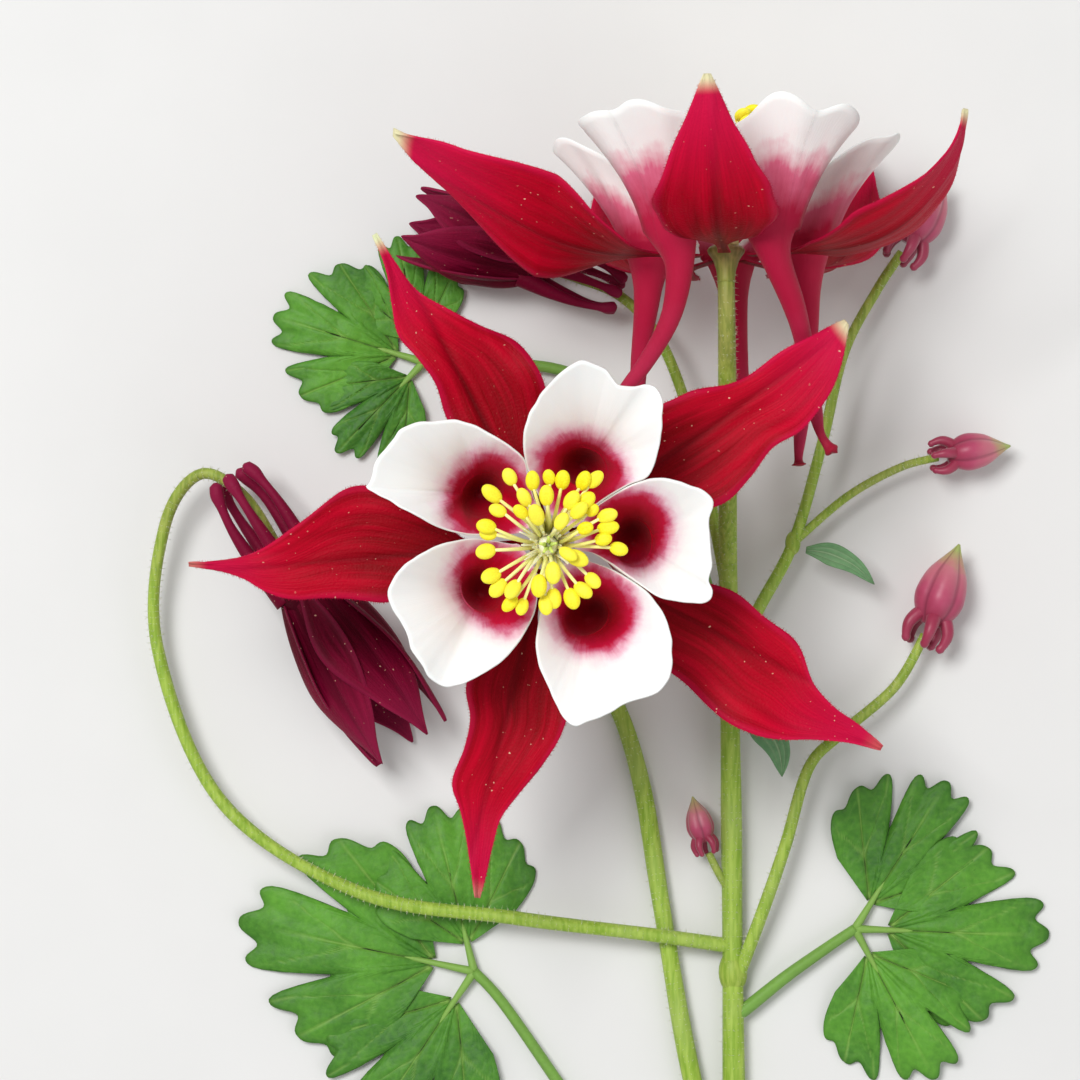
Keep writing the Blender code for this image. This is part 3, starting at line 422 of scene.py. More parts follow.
def evenly(fine, count, closed=False):
    """Points spaced evenly along a line that is given by many points."""
    far = np.concatenate([[0], np.cumsum(np.linalg.norm(np.diff(fine, axis=0), axis=1))])
    places = np.linspace(0, far[-1], count, endpoint=not closed)
    return np.stack([np.interp(places, far, values) for values in fine.T], axis=1)


def even_spline(points, count):
    return evenly(spline(points, shares(40 * len(points))), count)


def even_loop(points, count):
    """Points spaced evenly round a smooth closed line, from its first point."""
    return evenly(round_spline(points, shares(60 * len(points))), count, closed=True)


def level(table, place):
    places, values = zip(*table)
    return np.interp(place, places, values)


def curve(table, place):
    """Values between a table's rows, without corners."""
    places, values = np.array(table, float).T
    slopes = np.gradient(values, places)
    place = np.asarray(place, float)
    i = np.clip(np.searchsorted(places, place, side="right") - 1, 0, len(places) - 2)
    size = places[i + 1] - places[i]
    t = np.clip((place - places[i]) / size, 0, 1)
    blend = t * t * (3 - 2 * t)
    bow = size * (slopes[i] * (t**3 - 2 * t**2 + t) + slopes[i + 1] * (t**3 - t**2))
    return values[i] * (1 - blend) + values[i + 1] * blend + bow


def smooth(value):
    value = np.clip(value, 0, 1)
    return value * value * (3 - 2 * value)


def ridge(place, width):
    """1 at place 0 and nearly 0 beyond twice the width."""
    return np.exp(-(place / width) ** 2)


def stripes(angle):
    return 0.5 + 0.5 * np.cos(angle)


def waves(x, y, seed):
    """Soft uneven waves, about -1 to 1, about six units long."""
    draw = np.random.default_rng(seed)
    total = 0
    for _ in range(WAVE_COUNT):
        angle = draw.uniform(0, 2 * math.pi)
        size = draw.uniform(0.6, 1.5)
        phase = draw.uniform(0, 2 * math.pi)
        total = total + np.sin(size * (x * math.cos(angle) + y * math.sin(angle)) + phase)
    return total / math.sqrt(WAVE_COUNT)


def way_of(azimuth):
    angle = math.radians(azimuth)
    return np.array([math.cos(angle), math.sin(angle), 0.0])


def left_of(way):
    return np.cross(UP, way)


def points_at(way, out, left, up):
    """Points this far out along a way, to its left and up."""
    return out[..., None] * way + left[..., None] * left_of(way) + up[..., None] * UP


def placed(points, matrix):
    """Points in millimetres moved by a matrix in millimetres."""
    return points @ np.array(matrix.to_3x3()).T + np.array(matrix.translation)


def facing_frame(centre, facing):
    turn = Vector((0, 0, 1)).rotation_difference(Vector(facing).normalized())
    return Matrix.Translation(centre) @ turn.to_matrix().to_4x4()


def hair_way(draw, out, lengths):
    """The way and length of a hair that leans at random from the way out of its surface."""
    return unit(out + draw.normal(0, HAIR_LEAN, 3)) * draw.uniform(*lengths)


# Meshes

class Shape:
    """Points in millimetres with four values each, and faces, gathered from several pieces."""

    def __init__(self):
        self.points, self.values, self.quads, self.caps, self.count = [], [], [], [], 0

    def put(self, points, values):
        flat = np.asarray(points, float).reshape(-1, 3)
        start = self.count
        self.points.append(flat)
        self.values.append(np.broadcast_to(values, (*np.shape(points)[:-1], 4)).reshape(-1, 4))
        self.count += len(flat)
        return start

    def lattice(self, start, rows, columns, closed=False, flip=False):
        r = np.arange(rows - 1)[:, None] * columns
        c = np.arange(columns if closed else columns - 1)[None, :]
        n = (c + 1) % columns
        corners = [r + c, r + n, r + columns + n, r + columns + c]
        if flip:
            corners.reverse()
        self.quads.append(np.stack(corners, axis=-1).reshape(-1, 4) + start)

    def rings(self, rings, values):
        """A skin over closed rings of points, with a flat cap at either end."""
        rows, columns = rings.shape[:2]
        start = self.put(rings, values)
        self.lattice(start, rows, columns, closed=True)
        first = list(range(start, start + columns))
        last = list(range(start + (rows - 1) * columns, start + rows * columns))
        self.caps += [last, first[::-1]]

    def sheet(self, points, values, thickness):
        """A thin closed sheet round a grid of points that thins out towards its edges."""
        normal = np.cross(np.gradient(points, axis=0), np.gradient(points, axis=1))
        size = np.linalg.norm(normal, axis=-1, keepdims=True)
        normal = normal / np.where(size < 1e-9, 1, size)
        rows, columns = points.shape[:2]
        u, v = (np.clip(1 - np.abs(np.linspace(-1, 1, count)) ** EDGE_POWER, THINNEST, 1)
                for count in (rows, columns))
        half = normal * thickness * 0.5 * np.sqrt(u[:, None] * v)[..., None]
        top = self.put(points + half, values)
        low = self.put(points - half, values)
        self.lattice(top, rows, columns, flip=True)
        self.lattice(low, rows, columns)
        index = np.arange(rows * columns).reshape(rows, columns)
        edge = np.concatenate([index[0, :-1], index[:-1, -1], index[-1, :0:-1], index[:0:-1, 0]])
        ahead = np.roll(edge, -1)
        self.quads.append(np.stack([top + edge, top + ahead, low + ahead, low + edge], axis=-1))

    def ball(self, centre, radii, values, steps, axes=None, groove=0.0):
        """A closed ball of steps round and up, with a groove of this depth down its two X sides."""
        turn = turns(steps[0])[None, :]
        rise = np.linspace(-BALL_END, BALL_END, steps[1])[:, None]
        x, y = np.cos(rise) * np.cos(turn), np.cos(rise) * np.sin(turn)
        points = stacked(x * (1 - groove * ridge(y, 0.3)), y, np.sin(rise)) * radii
        if axes is not None:
            points = points @ axes
        self.rings(points + np.array(centre), values)

    def tube(self, line, radii, sides, values, ridges=0.0):
        """A round tube along a line; values holds one row, or one for each of the line's points."""
        line = np.asarray(line, float)
        run = unit(np.gradient(line, axis=0))
        side = np.cross(run[0], UP if abs(run[0][2]) < 0.9 else (0.0, 1.0, 0.0))
        sides_at = []
        for way in run:
            side = unit(side - way * side.dot(way))
            sides_at.append(side)
        side = np.array(sides_at)[:, None, :]
        up = np.cross(run, side[:, 0])[:, None, :]
        turn = turns(sides)[None, :, None]
        size = np.asarray(radii, float)[:, None, None] * (1 + ridges * np.cos(5 * turn))
        rings = line[:, None, :] + size * (np.cos(turn) * side + np.sin(turn) * up)
        self.rings(rings, np.broadcast_to(values, (len(line), 4))[:, None, :])
        return rings

    def hair(self, root, way, run, values):
        """A thin three-sided spike from a point on a surface; way holds its length."""
        side = np.cross(way, run)
        side *= HAIR_RADIUS / (np.linalg.norm(side) + 1e-9)
        over = np.cross(unit(way), side)
        corners = [root + side, root - 0.5 * side + over, root - 0.5 * side - over, root + way]
        start = self.put(corners, values)
        self.caps += [[start + a, start + b, start + 3] for a, b in ((0, 1), (1, 2), (2, 0))]

    def finish(self, name, material, matrix=None):
        """The mesh object, in the row frame and in metres, with nothing below the surface it lies on."""
        points = np.concatenate(self.points)
        if matrix is not None:
            points = placed(points, matrix)
        points = (points - (*PLANT_MIDDLE, 0.0)) * MM
        points[:, 2] = np.maximum(points[:, 2], 0.0)
        mesh = bpy.data.meshes.new(name)
        mesh.from_pydata(points.tolist(), [], np.concatenate(self.quads).tolist() + self.caps)
        mesh.shade_smooth()
        colours = mesh.color_attributes.new("mask", "FLOAT_COLOR", "POINT").data
        colours.foreach_set("color", np.concatenate(self.values).astype(np.float32).ravel())
        mesh.materials.append(material)
        obj = bpy.data.objects.new(name, mesh)
        bpy.context.scene.collection.objects.link(obj)
        return obj


# Materials: mask carries up to four values from the mesh

class Value:
    """A value in a material, so that sums of values can be written as sums."""

    def __init__(self, paint, socket):
        self.paint, self.socket = paint, socket

    def __add__(self, other):
        return self.paint.math("ADD", self, other)

    def __sub__(self, other):
        return self.paint.math("SUBTRACT", self, other)

    def __mul__(self, other):
        return self.paint.math("MULTIPLY", self, other)


class Paint:
    """A node material that is put together step by step."""

    def __init__(self, name):
        self.material = bpy.data.materials.new(name)
        self.material.use_nodes = True
        self.tree = self.material.node_tree
        self.shader = self.tree.nodes["Principled BSDF"]
        attribute = self.tree.nodes.new("ShaderNodeAttribute")
        attribute.attribute_name = "mask"
        parts = self.tree.nodes.new("ShaderNodeSeparateColor")
        self.tree.links.new(attribute.outputs["Color"], parts.inputs[0])
        self.red, self.green, self.blue = (Value(self, socket) for socket in parts.outputs)
        self.alpha = Value(self, attribute.outputs["Alpha"])
        self.place = self.made("ShaderNodeTexCoord", {}, "Object")

    def link(self, source, socket):
        if isinstance(source, Value):
            self.tree.links.new(source.socket, socket)
        else:
            socket.default_value = source

    def made(self, kind, inputs, output=0, **settings):
        """One output of a new node, with these inputs linked or set."""
        node = self.tree.nodes.new(kind)
        for key, value in settings.items():
            setattr(node, key, value)
        for key, value in inputs.items():
            self.link(value, node.inputs[key])
        return Value(self, node.outputs[output])

    def math(self, kind, a, b=0.0, clamp=False):
        return self.made("ShaderNodeMath", {0: a, 1: b}, operation=kind, use_clamp=clamp)

    def vector(self, x, y, z):
        return self.made("ShaderNodeCombineXYZ", {0: x, 1: y, 2: z})

    def noise(self, where, scale, detail=3.0, distortion=0.0):
        inputs = {"Vector": where, "Scale": scale, "Detail": detail, "Distortion": distortion}
        return self.made("ShaderNodeTexNoise", inputs, "Fac")

    def ramp(self, value, *stops):
        node = self.tree.nodes.new("ShaderNodeValToRGB")
        self.link(value, node.inputs[0])
        points = node.color_ramp.elements
        while len(points) < len(stops):
            points.new(0.5)
        for point, (place, colour) in zip(points, stops):
            point.position = place
            point.color = (*colour, 1)
        return Value(self, node.outputs[0])

    def step(self, value, low, high):
        """0 below low, 1 above high, smooth between."""
        inputs = {0: value, 1: low, 2: high}
        return self.made("ShaderNodeMapRange", inputs, interpolation_type="SMOOTHSTEP")

    def mix(self, share, a, b):
        """Colour a where share is 0 and colour b where it is 1."""
        a, b = (colour if isinstance(colour, Value) else (*colour, 1) for colour in (a, b))
        return self.made("ShaderNodeMix", {0: share, 6: a, 7: b}, 2, data_type="RGBA")

    def finish(self, colour, roughness, bump=None, bump_height=0.0, **constants):
        self.link(colour, self.shader.inputs["Base Color"])
        self.link(roughness, self.shader.inputs["Roughness"])
        if bump is not None:
            inputs = {"Strength": 1.0, "Distance": bump_height * MM, "Height": bump}
            self.link(self.made("ShaderNodeBump", inputs), self.shader.inputs["Normal"])
        for name, value in constants.items():
            self.shader.inputs[name.replace("_", " ")].default_value = value
        return self.material


def petal_paint():
    """White blades with a crimson zone; mask is zone or depth, place round the rim, outside, dark core of
    painted shade.
    """
    p = Paint("petal white and crimson")
    streaks = p.noise(p.vector(p.green * 60.0, p.red * 3.0, 0.0), 1.0, 4.0, 0.3)
    fine = p.noise(p.vector(p.green * 260.0, p.red * 14.0, 3.0), 1.0)
    cloud = p.noise(p.place, 420.0)
    depth = p.red + ((streaks - 0.5) * 0.12 + (fine - 0.5) * 0.04 + (cloud - 0.5) * 0.26)
    inside = p.ramp(
        depth, (0.16, (0.93, 0.945, 0.94)), (0.3, (0.91, 0.82, 0.87)), (0.42, (0.82, 0.5, 0.62)),
        (0.51, (0.64, 0.13, 0.25)), (0.6, (0.53, 0.004, 0.045)), (0.8, (0.43, 0.0, 0.014)))
    # Painted shade: the dark core and the deep hollow turn near black crimson
    inside = p.mix(p.alpha, inside, (0.16, 0.0, 0.005))
    outside = p.ramp(
        depth * 0.5, (0.0, (0.92, 0.92, 0.9)), (0.14, (0.9, 0.84, 0.83)), (0.26, (0.68, 0.14, 0.24)),
        (0.42, (0.45, 0.01, 0.05)), (0.62, (0.4, 0.006, 0.04)), (0.84, (0.44, 0.02, 0.07)),
        (0.95, (0.3, 0.006, 0.025)))
    return p.finish(p.mix(p.blue, inside, outside), 0.5, fine * 0.6 + streaks * 0.4, 0.045,
                    Subsurface_Weight=0.1, Subsurface_Scale=0.0008, Subsurface_Radius=(1.0, 0.6, 0.5),
                    Sheen_Weight=0.03, Sheen_Roughness=0.5, Specular_IOR_Level=0.12)


def sepal_paint(name, deep, bright, tip, roughness):
    """Red with lengthwise veins; mask is share along, place across, fold shade, how pale the tip is."""
    p = Paint(name)
    along, across = p.red, p.green
    veins = p.noise(p.vector(across * 46.0, along * 3.4, 0.0), 1.0, 3.5, 0.5)
    broad = p.noise(p.vector(across * 9.0, along * 3.0, 7.0), 1.0, 2.0, 0.4)
    cells = p.noise(p.place, 3600.0)
    # Darker towards the foot, painted shade where the sepals lie under the petals
    tone = veins * 0.42 + broad * 0.58 + (p.step(along, 0.3, 0.75) - 0.5) * 0.3
    colour = p.ramp(tone, (0.3, deep), (0.74, bright))
    # Painted shade in the crease and folds
    colour = p.mix(p.blue * 0.75, colour, tuple(c * 0.35 for c in deep))
    colour = p.mix(p.step(along, 0.6, 1.05) * 0.7, colour, tip)
    from_middle = p.math("ABSOLUTE", across * 2.0 - 1.0)
    colour = p.mix(p.step(from_middle, 0.82, 1.0) * 0.4, colour, tip)
    colour = p.mix(p.step(along, 0.93, 0.985) * p.alpha, colour, (0.8, 0.84, 0.5))
    specks = p.step(p.noise(p.place, 2900.0, 0.0), 0.815, 0.84)
    specks = specks * p.step(p.noise(p.place, 170.0, 1.0), 0.42, 0.62)
    colour = p.mix(specks * 0.7, colour, (0.8, 0.5, 0.34))
    return p.finish(colour, roughness, veins * 0.55 + cells * 0.5, 0.13, Sheen_Weight=0.06,
                    Sheen_Roughness=0.4, Sheen_Tint=(1.0, 0.1, 0.2, 1.0), Specular_IOR_Level=0.07)


def stamen_paint():
    """Anthers and filaments; mask is anther or not, own shade."""
    p = Paint("anther yellow")
    grain = p.noise(p.place, 5200.0)
    anther = p.mix(p.step(grain, 0.3, 0.75), (0.9, 0.74, 0.005), (0.98, 0.88, 0.02))
    anther = p.mix(p.green * 0.5, anther, (1.0, 0.93, 0.12))
    filament = p.mix(p.green, (0.97, 0.93, 0.28), (1.0, 0.98, 0.5))
    return p.finish(p.mix(p.red, filament, anther), 0.5, grain, 0.05, Subsurface_Weight=0.1,
                    Subsurface_Scale=0.0006, Subsurface_Radius=(1.0, 0.8, 0.2), Specular_IOR_Level=0.3)


def pistil_paint():
    """Styles, greener at their tips; mask is share along, papery or not."""
    p = Paint("style green")
    grain = p.noise(p.place, 3500.0, 2.0)
    style = p.ramp(p.red, (0.0, (0.6, 0.66, 0.3)), (0.7, (0.86, 0.87, 0.45)), (1.0, (0.62, 0.78, 0.16)))
    colour = p.mix(p.green, style, (1.0, 0.98, 0.78))
    return p.finish(colour, 0.42, grain, 0.03, Subsurface_Weight=0.1, Subsurface_Scale=0.0006)


def stem_paint():
    """Green stalks, purple near the blooms; mask is purple share, nothing, cut face, hair."""
    p = Paint("stem green")
    long_grain = p.made("ShaderNodeMapping", {"Vector": p.place, "Scale": (1.0, 0.12, 1.0)})
    fibres = p.noise(long_grain, 2400.0)
    patch = p.noise(p.place, 120.0)
    green = p.mix(p.step(fibres, 0.3, 0.7), (0.22, 0.37, 0.03), (0.37, 0.52, 0.08))
    green = p.mix(p.step(patch, 0.45, 0.75) * 0.5, green, (0.36, 0.48, 0.12))
    purple = p.mix(p.step(fibres, 0.3, 0.7), (0.13, 0.035, 0.03), (0.26, 0.1, 0.06))
    share = p.math("MULTIPLY", p.red, p.step(patch, 0.15, 0.7), clamp=True)
    colour = p.mix(share, green, purple)
    colour = p.mix(p.blue, colour, (0.62, 0.66, 0.36))
    colour = p.mix(p.alpha, colour, (0.72, 0.74, 0.55))
    return p.finish(colour, 0.48, fibres, 0.05, Sheen_Weight=0.06, Sheen_Roughness=0.4,
                    Specular_IOR_Level=0.25)


def leaf_paint(name, dark, light, vein):
    """Patchy green with paler veins; mask is vein, nothing, edge, own shade."""
    p = Paint(name)
    patch = p.noise(p.place, 150.0, 4.0)
    cells = p.noise(p.place, 1500.0)
    tone = patch * 0.65 + cells * 0.35 + (p.alpha - 0.5) * 0.25
    colour = p.ramp(tone, (0.3, dark), (0.72, light))
    colour = p.mix(p.red * 0.75, colour, vein)
    colour = p.mix(p.blue * 0.35, colour, tuple(c * 0.55 for c in dark))
    return p.finish(colour, cells * 0.2 + 0.42, cells * 0.5 - p.red * 0.8, 0.18, Sheen_Weight=0.05,
                    Sheen_Roughness=0.5, Specular_IOR_Level=0.25)


def bud_paint():
    """Pink with a green tip; mask is share along, painted shade in the grooves."""
    p = Paint("bud pink and green")
    patch = p.noise(p.place, 400.0)
    colour = p.ramp(p.red + (patch - 0.5) * 0.4, (0.0, (0.3, 0.02, 0.06)), (0.35, (0.42, 0.05, 0.12)),
                    (0.7, (0.52, 0.16, 0.2)), (0.95, (0.34, 0.42, 0.12)))
    # Painted shade in the grooves between the keels
    colour = p.mix(p.green * 0.6, colour, (0.12, 0.01, 0.03))
    return p.finish(colour, 0.45, patch, 0.08, Sheen_Weight=0.3, Sheen_Roughness=0.4)


# The material and the slot of each kind of piece
LOOKS = {
    "petal": (petal_paint(), "petal_white"),
    "sepal": (
        sepal_paint("sepal crimson", (0.23, 0.0, 0.004), (0.52, 0.0, 0.019), (0.62, 0.008, 0.08), 0.46),
        "sepal_crimson"),
    "half open": (
        sepal_paint("bloom burgundy", (0.07, 0.0, 0.008), (0.2, 0.003, 0.03), (0.27, 0.015, 0.06), 0.5),
        "bloom_burgundy"),
    "stamens": (stamen_paint(), "anther_yellow"),
    "pistil": (pistil_paint(), "style_green"),
    "stem": (stem_paint(), "stem_green"),
    "leaf": (
        leaf_paint("leaf green", (0.03, 0.13, 0.012), (0.11, 0.33, 0.03), (0.28, 0.46, 0.1)), "leaf_green"),
    "bract": (
        leaf_paint("bract green", (0.07, 0.19, 0.08), (0.17, 0.34, 0.15), (0.3, 0.44, 0.24)), "leaf_green"),
    "bud": (bud_paint(), "bud_pink"),
}


def show(shape, node, look, matrix=None):
    """Makes the piece that stands for this node, with its material."""
    material, slot = LOOKS[look]
    obj = shape.finish(f"{node}_looks", material, matrix)
    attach(obj, "root")
    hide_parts(node)


# Parts of a bloom, each in a frame whose Z is the way the bloom faces

def sepal(azimuth, rows, rise, fold, bend, roll, pale_tip, seed):
    """A blade with a crease, folds, fine veins and hairy edges."""
    length = rows[-1][0]
    along, across = grid(*SEPAL_GRID)
    reach, right, left = spline(rows, along[:, 0]).T[..., None]
    half = (left - right) / 2
    half = half * (1 + 0.03 * waves(reach * 0.8, np.sign(across) * 9, seed) * np.abs(across) ** 6)
    side = (left + right) / 2 + across * half
    beyond = np.maximum(reach - BEND_START, 0.0)
    out = beyond / (length - BEND_START)
    wide = np.minimum(out * 4, 1.0)
    height = CLAW_LEVEL + rise * out**1.5 + fold * np.abs(across) * half * wide
    height += 0.35 * np.sin(reach * 0.55 + across * 1.5) * out * np.abs(across)
    height += 0.42 * waves(reach * 0.42, side * 0.5, seed + 1) * wide * np.abs(across) ** 1.5
    crease = ridge(side + 0.05 * reach * math.sin(seed), 0.45) * np.clip(1.25 - out, 0, 1)
    folds = stripes(side * 3.1 + 0.7 * np.sin(reach * 0.25 + seed))
    veins = stripes(side * 11 / (0.35 + 0.65 * np.clip(half / 6, 0.15, 1)) + seed)
    height -= (0.34 * crease + 0.10 * folds * np.clip(1.1 - out, 0, 1) + 0.022 * veins) * wide
    twist = np.radians(roll) * np.minimum(out * 3, 1.0)
    height = height + side * np.sin(twist)
    side = side * np.cos(twist)
    if bend:
        angle = beyond / bend
        lift = height - CLAW_LEVEL
        height = CLAW_LEVEL + bend * (1 - np.cos(angle)) + lift * np.cos(angle)
        reach = np.where(reach > BEND_START, BEND_START + (bend - lift) * np.sin(angle), reach)
    points = points_at(way_of(azimuth), reach, side, height)
    # Painted shade in the crease and the folds, which the material darkens
    dark = np.clip(0.75 * crease + 0.25 * folds * (1 - out), 0, 1)
    values = mask(along, (across + 1) / 2, dark, pale_tip)
    shape = Shape()
    shape.sheet(points, values, SEPAL_THICKNESS)
    draw = np.random.default_rng(seed)
    for edge, inner in ((0, 1), (-1, -2)):
        for i in range(14, SEPAL_GRID[0] - 4):
            root = points[i, edge]
            run = points[i + 1, edge] - root
            for _ in range(3):
                way = hair_way(draw, unit(root - points[i, inner]), SEPAL_HAIRS)
                shape.hair(root + run * draw.uniform(0, 1), way, run, values[i, edge])
    return shape


def spur_ring(line, share, radius, ways):
    """A ring round the line of a spur, level where the spur's end points straight down."""
    here, ahead, behind = spline(line, [share, share + 0.01, share - 0.01])
    run = unit(ahead - behind)
    if share >= 1.0 and abs(run[2]) > 0.8:
        run = -UP
    side = unit(np.array([0, 1.0, 0]) - run * run[1])
    return here + radius * (ways[:, :1] * np.cross(run, side) + ways[:, 1:] * side)


def petal(azimuth, rim, line, zone, spur_size, seed):
    """A cupped blade with its hollow and its spur, from the rim's points in the petal's own frame."""
    core, zone_place, outwards, inwards, zone_half = zone
    middle = np.array([THROAT_DISTANCE, 0.0, 0.0])
    shift = np.clip((core[0] - THROAT_DISTANCE, core[1], 0.0), -THROAT_SHIFT, THROAT_SHIFT)
    flat = rim * (1, 1, 0)
    out = unit(flat - middle)
    ways = out[:, :2]
    oval = 0.93 + 0.17 * ways[:, 1:] ** 2
    outer_throat = middle + out * THROAT_RADIUS * oval
    inner_throat = middle + shift + out * INNER_THROAT * oval
    around = np.arange(len(rim)) / len(rim)
    dent_x, dent_y = np.cos(around * 6.283) * 9, np.sin(around * 6.283) * 9

    def wall(share, throat, offset=0.0):
        """The wall from rim to throat, moved outwards by offset."""
        bow = throat + 0.24 * (flat - throat)
        bow[:, 2] = 0.5 * rim[:, 2]
        place = (1 - share) ** 2 * rim + 2 * share * (1 - share) * bow + share**2 * throat
        run = 2 * (1 - share) * (rim - bow) + 2 * share * (bow - throat)
        run_out = (run * out).sum(axis=1)
        run_up = np.maximum(run[:, 2], 0.0)
        length = np.hypot(run_out, run_up)
        length[length < 1e-6] = 1.0
        dent = 0.48 * share * (1 - share) * waves(dent_x + share * 4, dent_y, seed)
        lift = offset * (run_up / length)[:, None] * out
        lift[:, 2] = -offset * run_out / length
        return place + dent[:, None] * out + lift

    rings, masks = [], []

    def add_inside(points, hollow_shade):
        from_zone = points[:, :2] - zone_place
        reach = from_zone[:, 0] / np.where(from_zone[:, 0] > 0, outwards, inwards)
        red = np.clip(0.6 + 0.6 * (1 - np.hypot(reach, from_zone[:, 1] / zone_half)), 0, 1)
        from_core = np.linalg.norm(points[:, :2] - core, axis=1)
        # Painted shade, strongest round the dark core and growing deeper into the hollow
        dark = np.clip(0.85 * ridge(from_core, 1.7) + hollow_shade, 0, 1)
        rings.append(points)
        masks.append(mask(red, around, 0.0, dark))

    def add_outside(points, depth, outer=1.0):
        rings.append(points)
        masks.append(mask(depth, around, outer))

    hollow_rings, inner_rings, outer_rings, spur_rings, knob_rings = PETAL_RINGS
    # The hollow, with painted shade that grows with its depth
    for share in np.linspace(HOLLOW_END, 0.01, hollow_rings):
        points = spur_ring(line, share, INNER_THROAT * level(HOLLOW_RADII, share), ways * oval)
        add_inside(points + shift * (1 - share / HOLLOW_END * 0.6), share * 2)
    for share in np.linspace(1.0, 0.0, inner_rings):
        add_inside(wall(share, inner_throat), 0.0)
    add_outside(wall(0.0, outer_throat, 0.1) + (0, 0, 0.04), 0.0, 0.5)
    for share in shares(outer_rings):
        add_outside(wall(share, outer_throat, PETAL_THICKNESS), share * 0.95)
    for share in (*np.linspace(0.05, 0.9, spur_rings), *np.linspace(0.92, 1.0, knob_rings)):
        slim = 1 + (spur_size - 1) * min(share / 0.2, 1.0)
        add_outside(spur_ring(line, share, curve(SPUR_RADII, share) * slim + 0.02, ways), 0.95 + share)
    shape = Shape()
    turn = Matrix.Rotation(math.radians(azimuth), 4, "Z")
    shape.rings(placed(np.array(rings), turn), np.array(masks))
    return shape


def main_rim(azimuth, outline, seed):
    """The rim of a petal of the main bloom in the petal's own frame, with its height and its ripples."""
    loop = even_loop(outline, MAIN_RIM_POINTS) * SEEN_HIGHER
    way = way_of(azimuth)
    x, y = loop @ way[:2], loop @ left_of(way)[:2]
    far = np.hypot(x, y)
    outer = smooth((far - 9) / 8)
    height = level(RIM_HEIGHTS, far)
    height += outer * (0.6 * waves(x * 0.6, y * 0.6, seed) + 0.05 * waves(x * 3, y * 3, seed + 3))
    x = x + outer * 0.04 * waves(x * 3, y * 3, seed + 1)
    y = y + outer * 0.04 * waves(x * 3, y * 3, seed + 2)
    return np.stack([x, y, height], axis=1)


def top_rim(corner_right, notch, corner_left, seed):
    """The rim of a petal of the upper bloom in the petal's own frame."""
    sides = []
    for half, corner in ((TOP_HALF_WIDTH, corner_left), (-TOP_HALF_WIDTH, corner_right)):
        side = []
        for reach, share, height in RIM:
            outer = min(max((reach - 8) / 10, 0.0), 1.0)
            moved = reach + (corner - RIM[1][0]) * outer
            side.append((notch if share == 0 and reach > 10 else moved, share * half, height))
        sides.append(side)
    left, right = sides
    loop = even_loop(left + right[-2:0:-1], TOP_RIM_POINTS)
    x, y = loop[:, 0], loop[:, 1]
    loop[:, 2] += smooth((x - 9) / 8) * 0.5 * waves(x * 0.8, y * 0.8, seed)
    return loop


def stamens(anthers, seed):
    """A pale bundle in the middle, and a bent filament for each anther."""
    shape = Shape()
    draw = np.random.default_rng(seed)
    shape.ball((0, 0, 4.4), (1.7, 1.7, 5.0), (0.0, 0.8, 0, 0), (28, 20))
    share = shares(FILAMENT_POINTS)
    for x, y, tall in anthers:
        far = math.hypot(x, y)
        way = np.array([x / far, y / far, 0.0])
        side = left_of(way)
        base = draw.uniform(0.5, 1.3)
        bow = base + 0.12 * (far - base)
        reach = (1 - share) ** 2 * base + 2 * (1 - share) * share * bow + share**2 * (far - ANTHER_HALF)
        rise = tall * STAMEN_HEIGHT * (1 - (1 - share) ** 2) - 0.4
        sway = draw.uniform(-0.7, 0.7) * np.sin(math.pi * share) * 0.6
        line = points_at(way, reach, sway, rise)
        shade = draw.uniform(0, 1)
        shape.tube(line, np.linspace(0.27, 0.18, FILAMENT_POINTS), 8, (0.0, shade, 0, 0))
        tilt = way * draw.uniform(0.9, 1.3) + UP * draw.uniform(0.05, 0.45) + side * draw.uniform(-0.3, 0.3)
        long_way = unit(tilt)
        flat_way = unit(np.cross(long_way, side))
        size = draw.uniform(0.8, 1.1)
        radii = (0.55 * size, 0.82 * size, draw.uniform(1.05, 1.3) * size)
        axes = np.stack([flat_way, np.cross(flat_way, long_way), long_way])
        shape.ball(line[-1] + long_way * ANTHER_HALF, radii, (1.0, shade, 0, 0), (20, 14), axes, 0.24)
    return shape


def tuft_of(rings, seed):
    """Places of anthers in rings of count, distance and height share."""
    draw = np.random.default_rng(seed)
    made = []
    for count, far, tall in rings:
        for i in range(count):
            angle = 2 * math.pi * (i + draw.uniform(-0.3, 0.3)) / count
            reach = far * draw.uniform(0.85, 1.12)
            made.append((reach * math.cos(angle), reach * math.sin(angle), tall * draw.uniform(0.95, 1.04)))
    return made


def pistil(seed):
    """Five styles in a sheath of pale papery scales."""
    shape = Shape()
    draw = np.random.default_rng(seed)
    share = shares(STYLE_POINTS)
    for i in range(5):
        way = way_of(FIFTH * i + FIRST_WAY + draw.uniform(-8, 8))
        line = even_spline([way * out + UP * height for out, height in STYLE_LINE], STYLE_POINTS)
        shape.tube(line, level(STYLE_RADII, share), 9, mask(share))
    shape.ball((0, 0, 9.0), (1.1, 1.1, 1.6), SCALE_MASK, (20, 12))
    u, v = grid(20, 7)
    for i in range(SCALES):
        way = way_of(360 / SCALES * i + draw.uniform(-7, 7))
        rise = draw.uniform(9.6, 13.2) * u + 0.1 * v**2
        out = 0.95 + 0.05 * u + u**4 * draw.uniform(0.0, 2.8)
        width = 0.42 * (1 - 0.85 * u**1.5) + 0.04 * np.sin(u * 25 + i)
        shape.sheet(points_at(way, out, v * width, rise), SCALE_MASK, 0.12)
    return shape


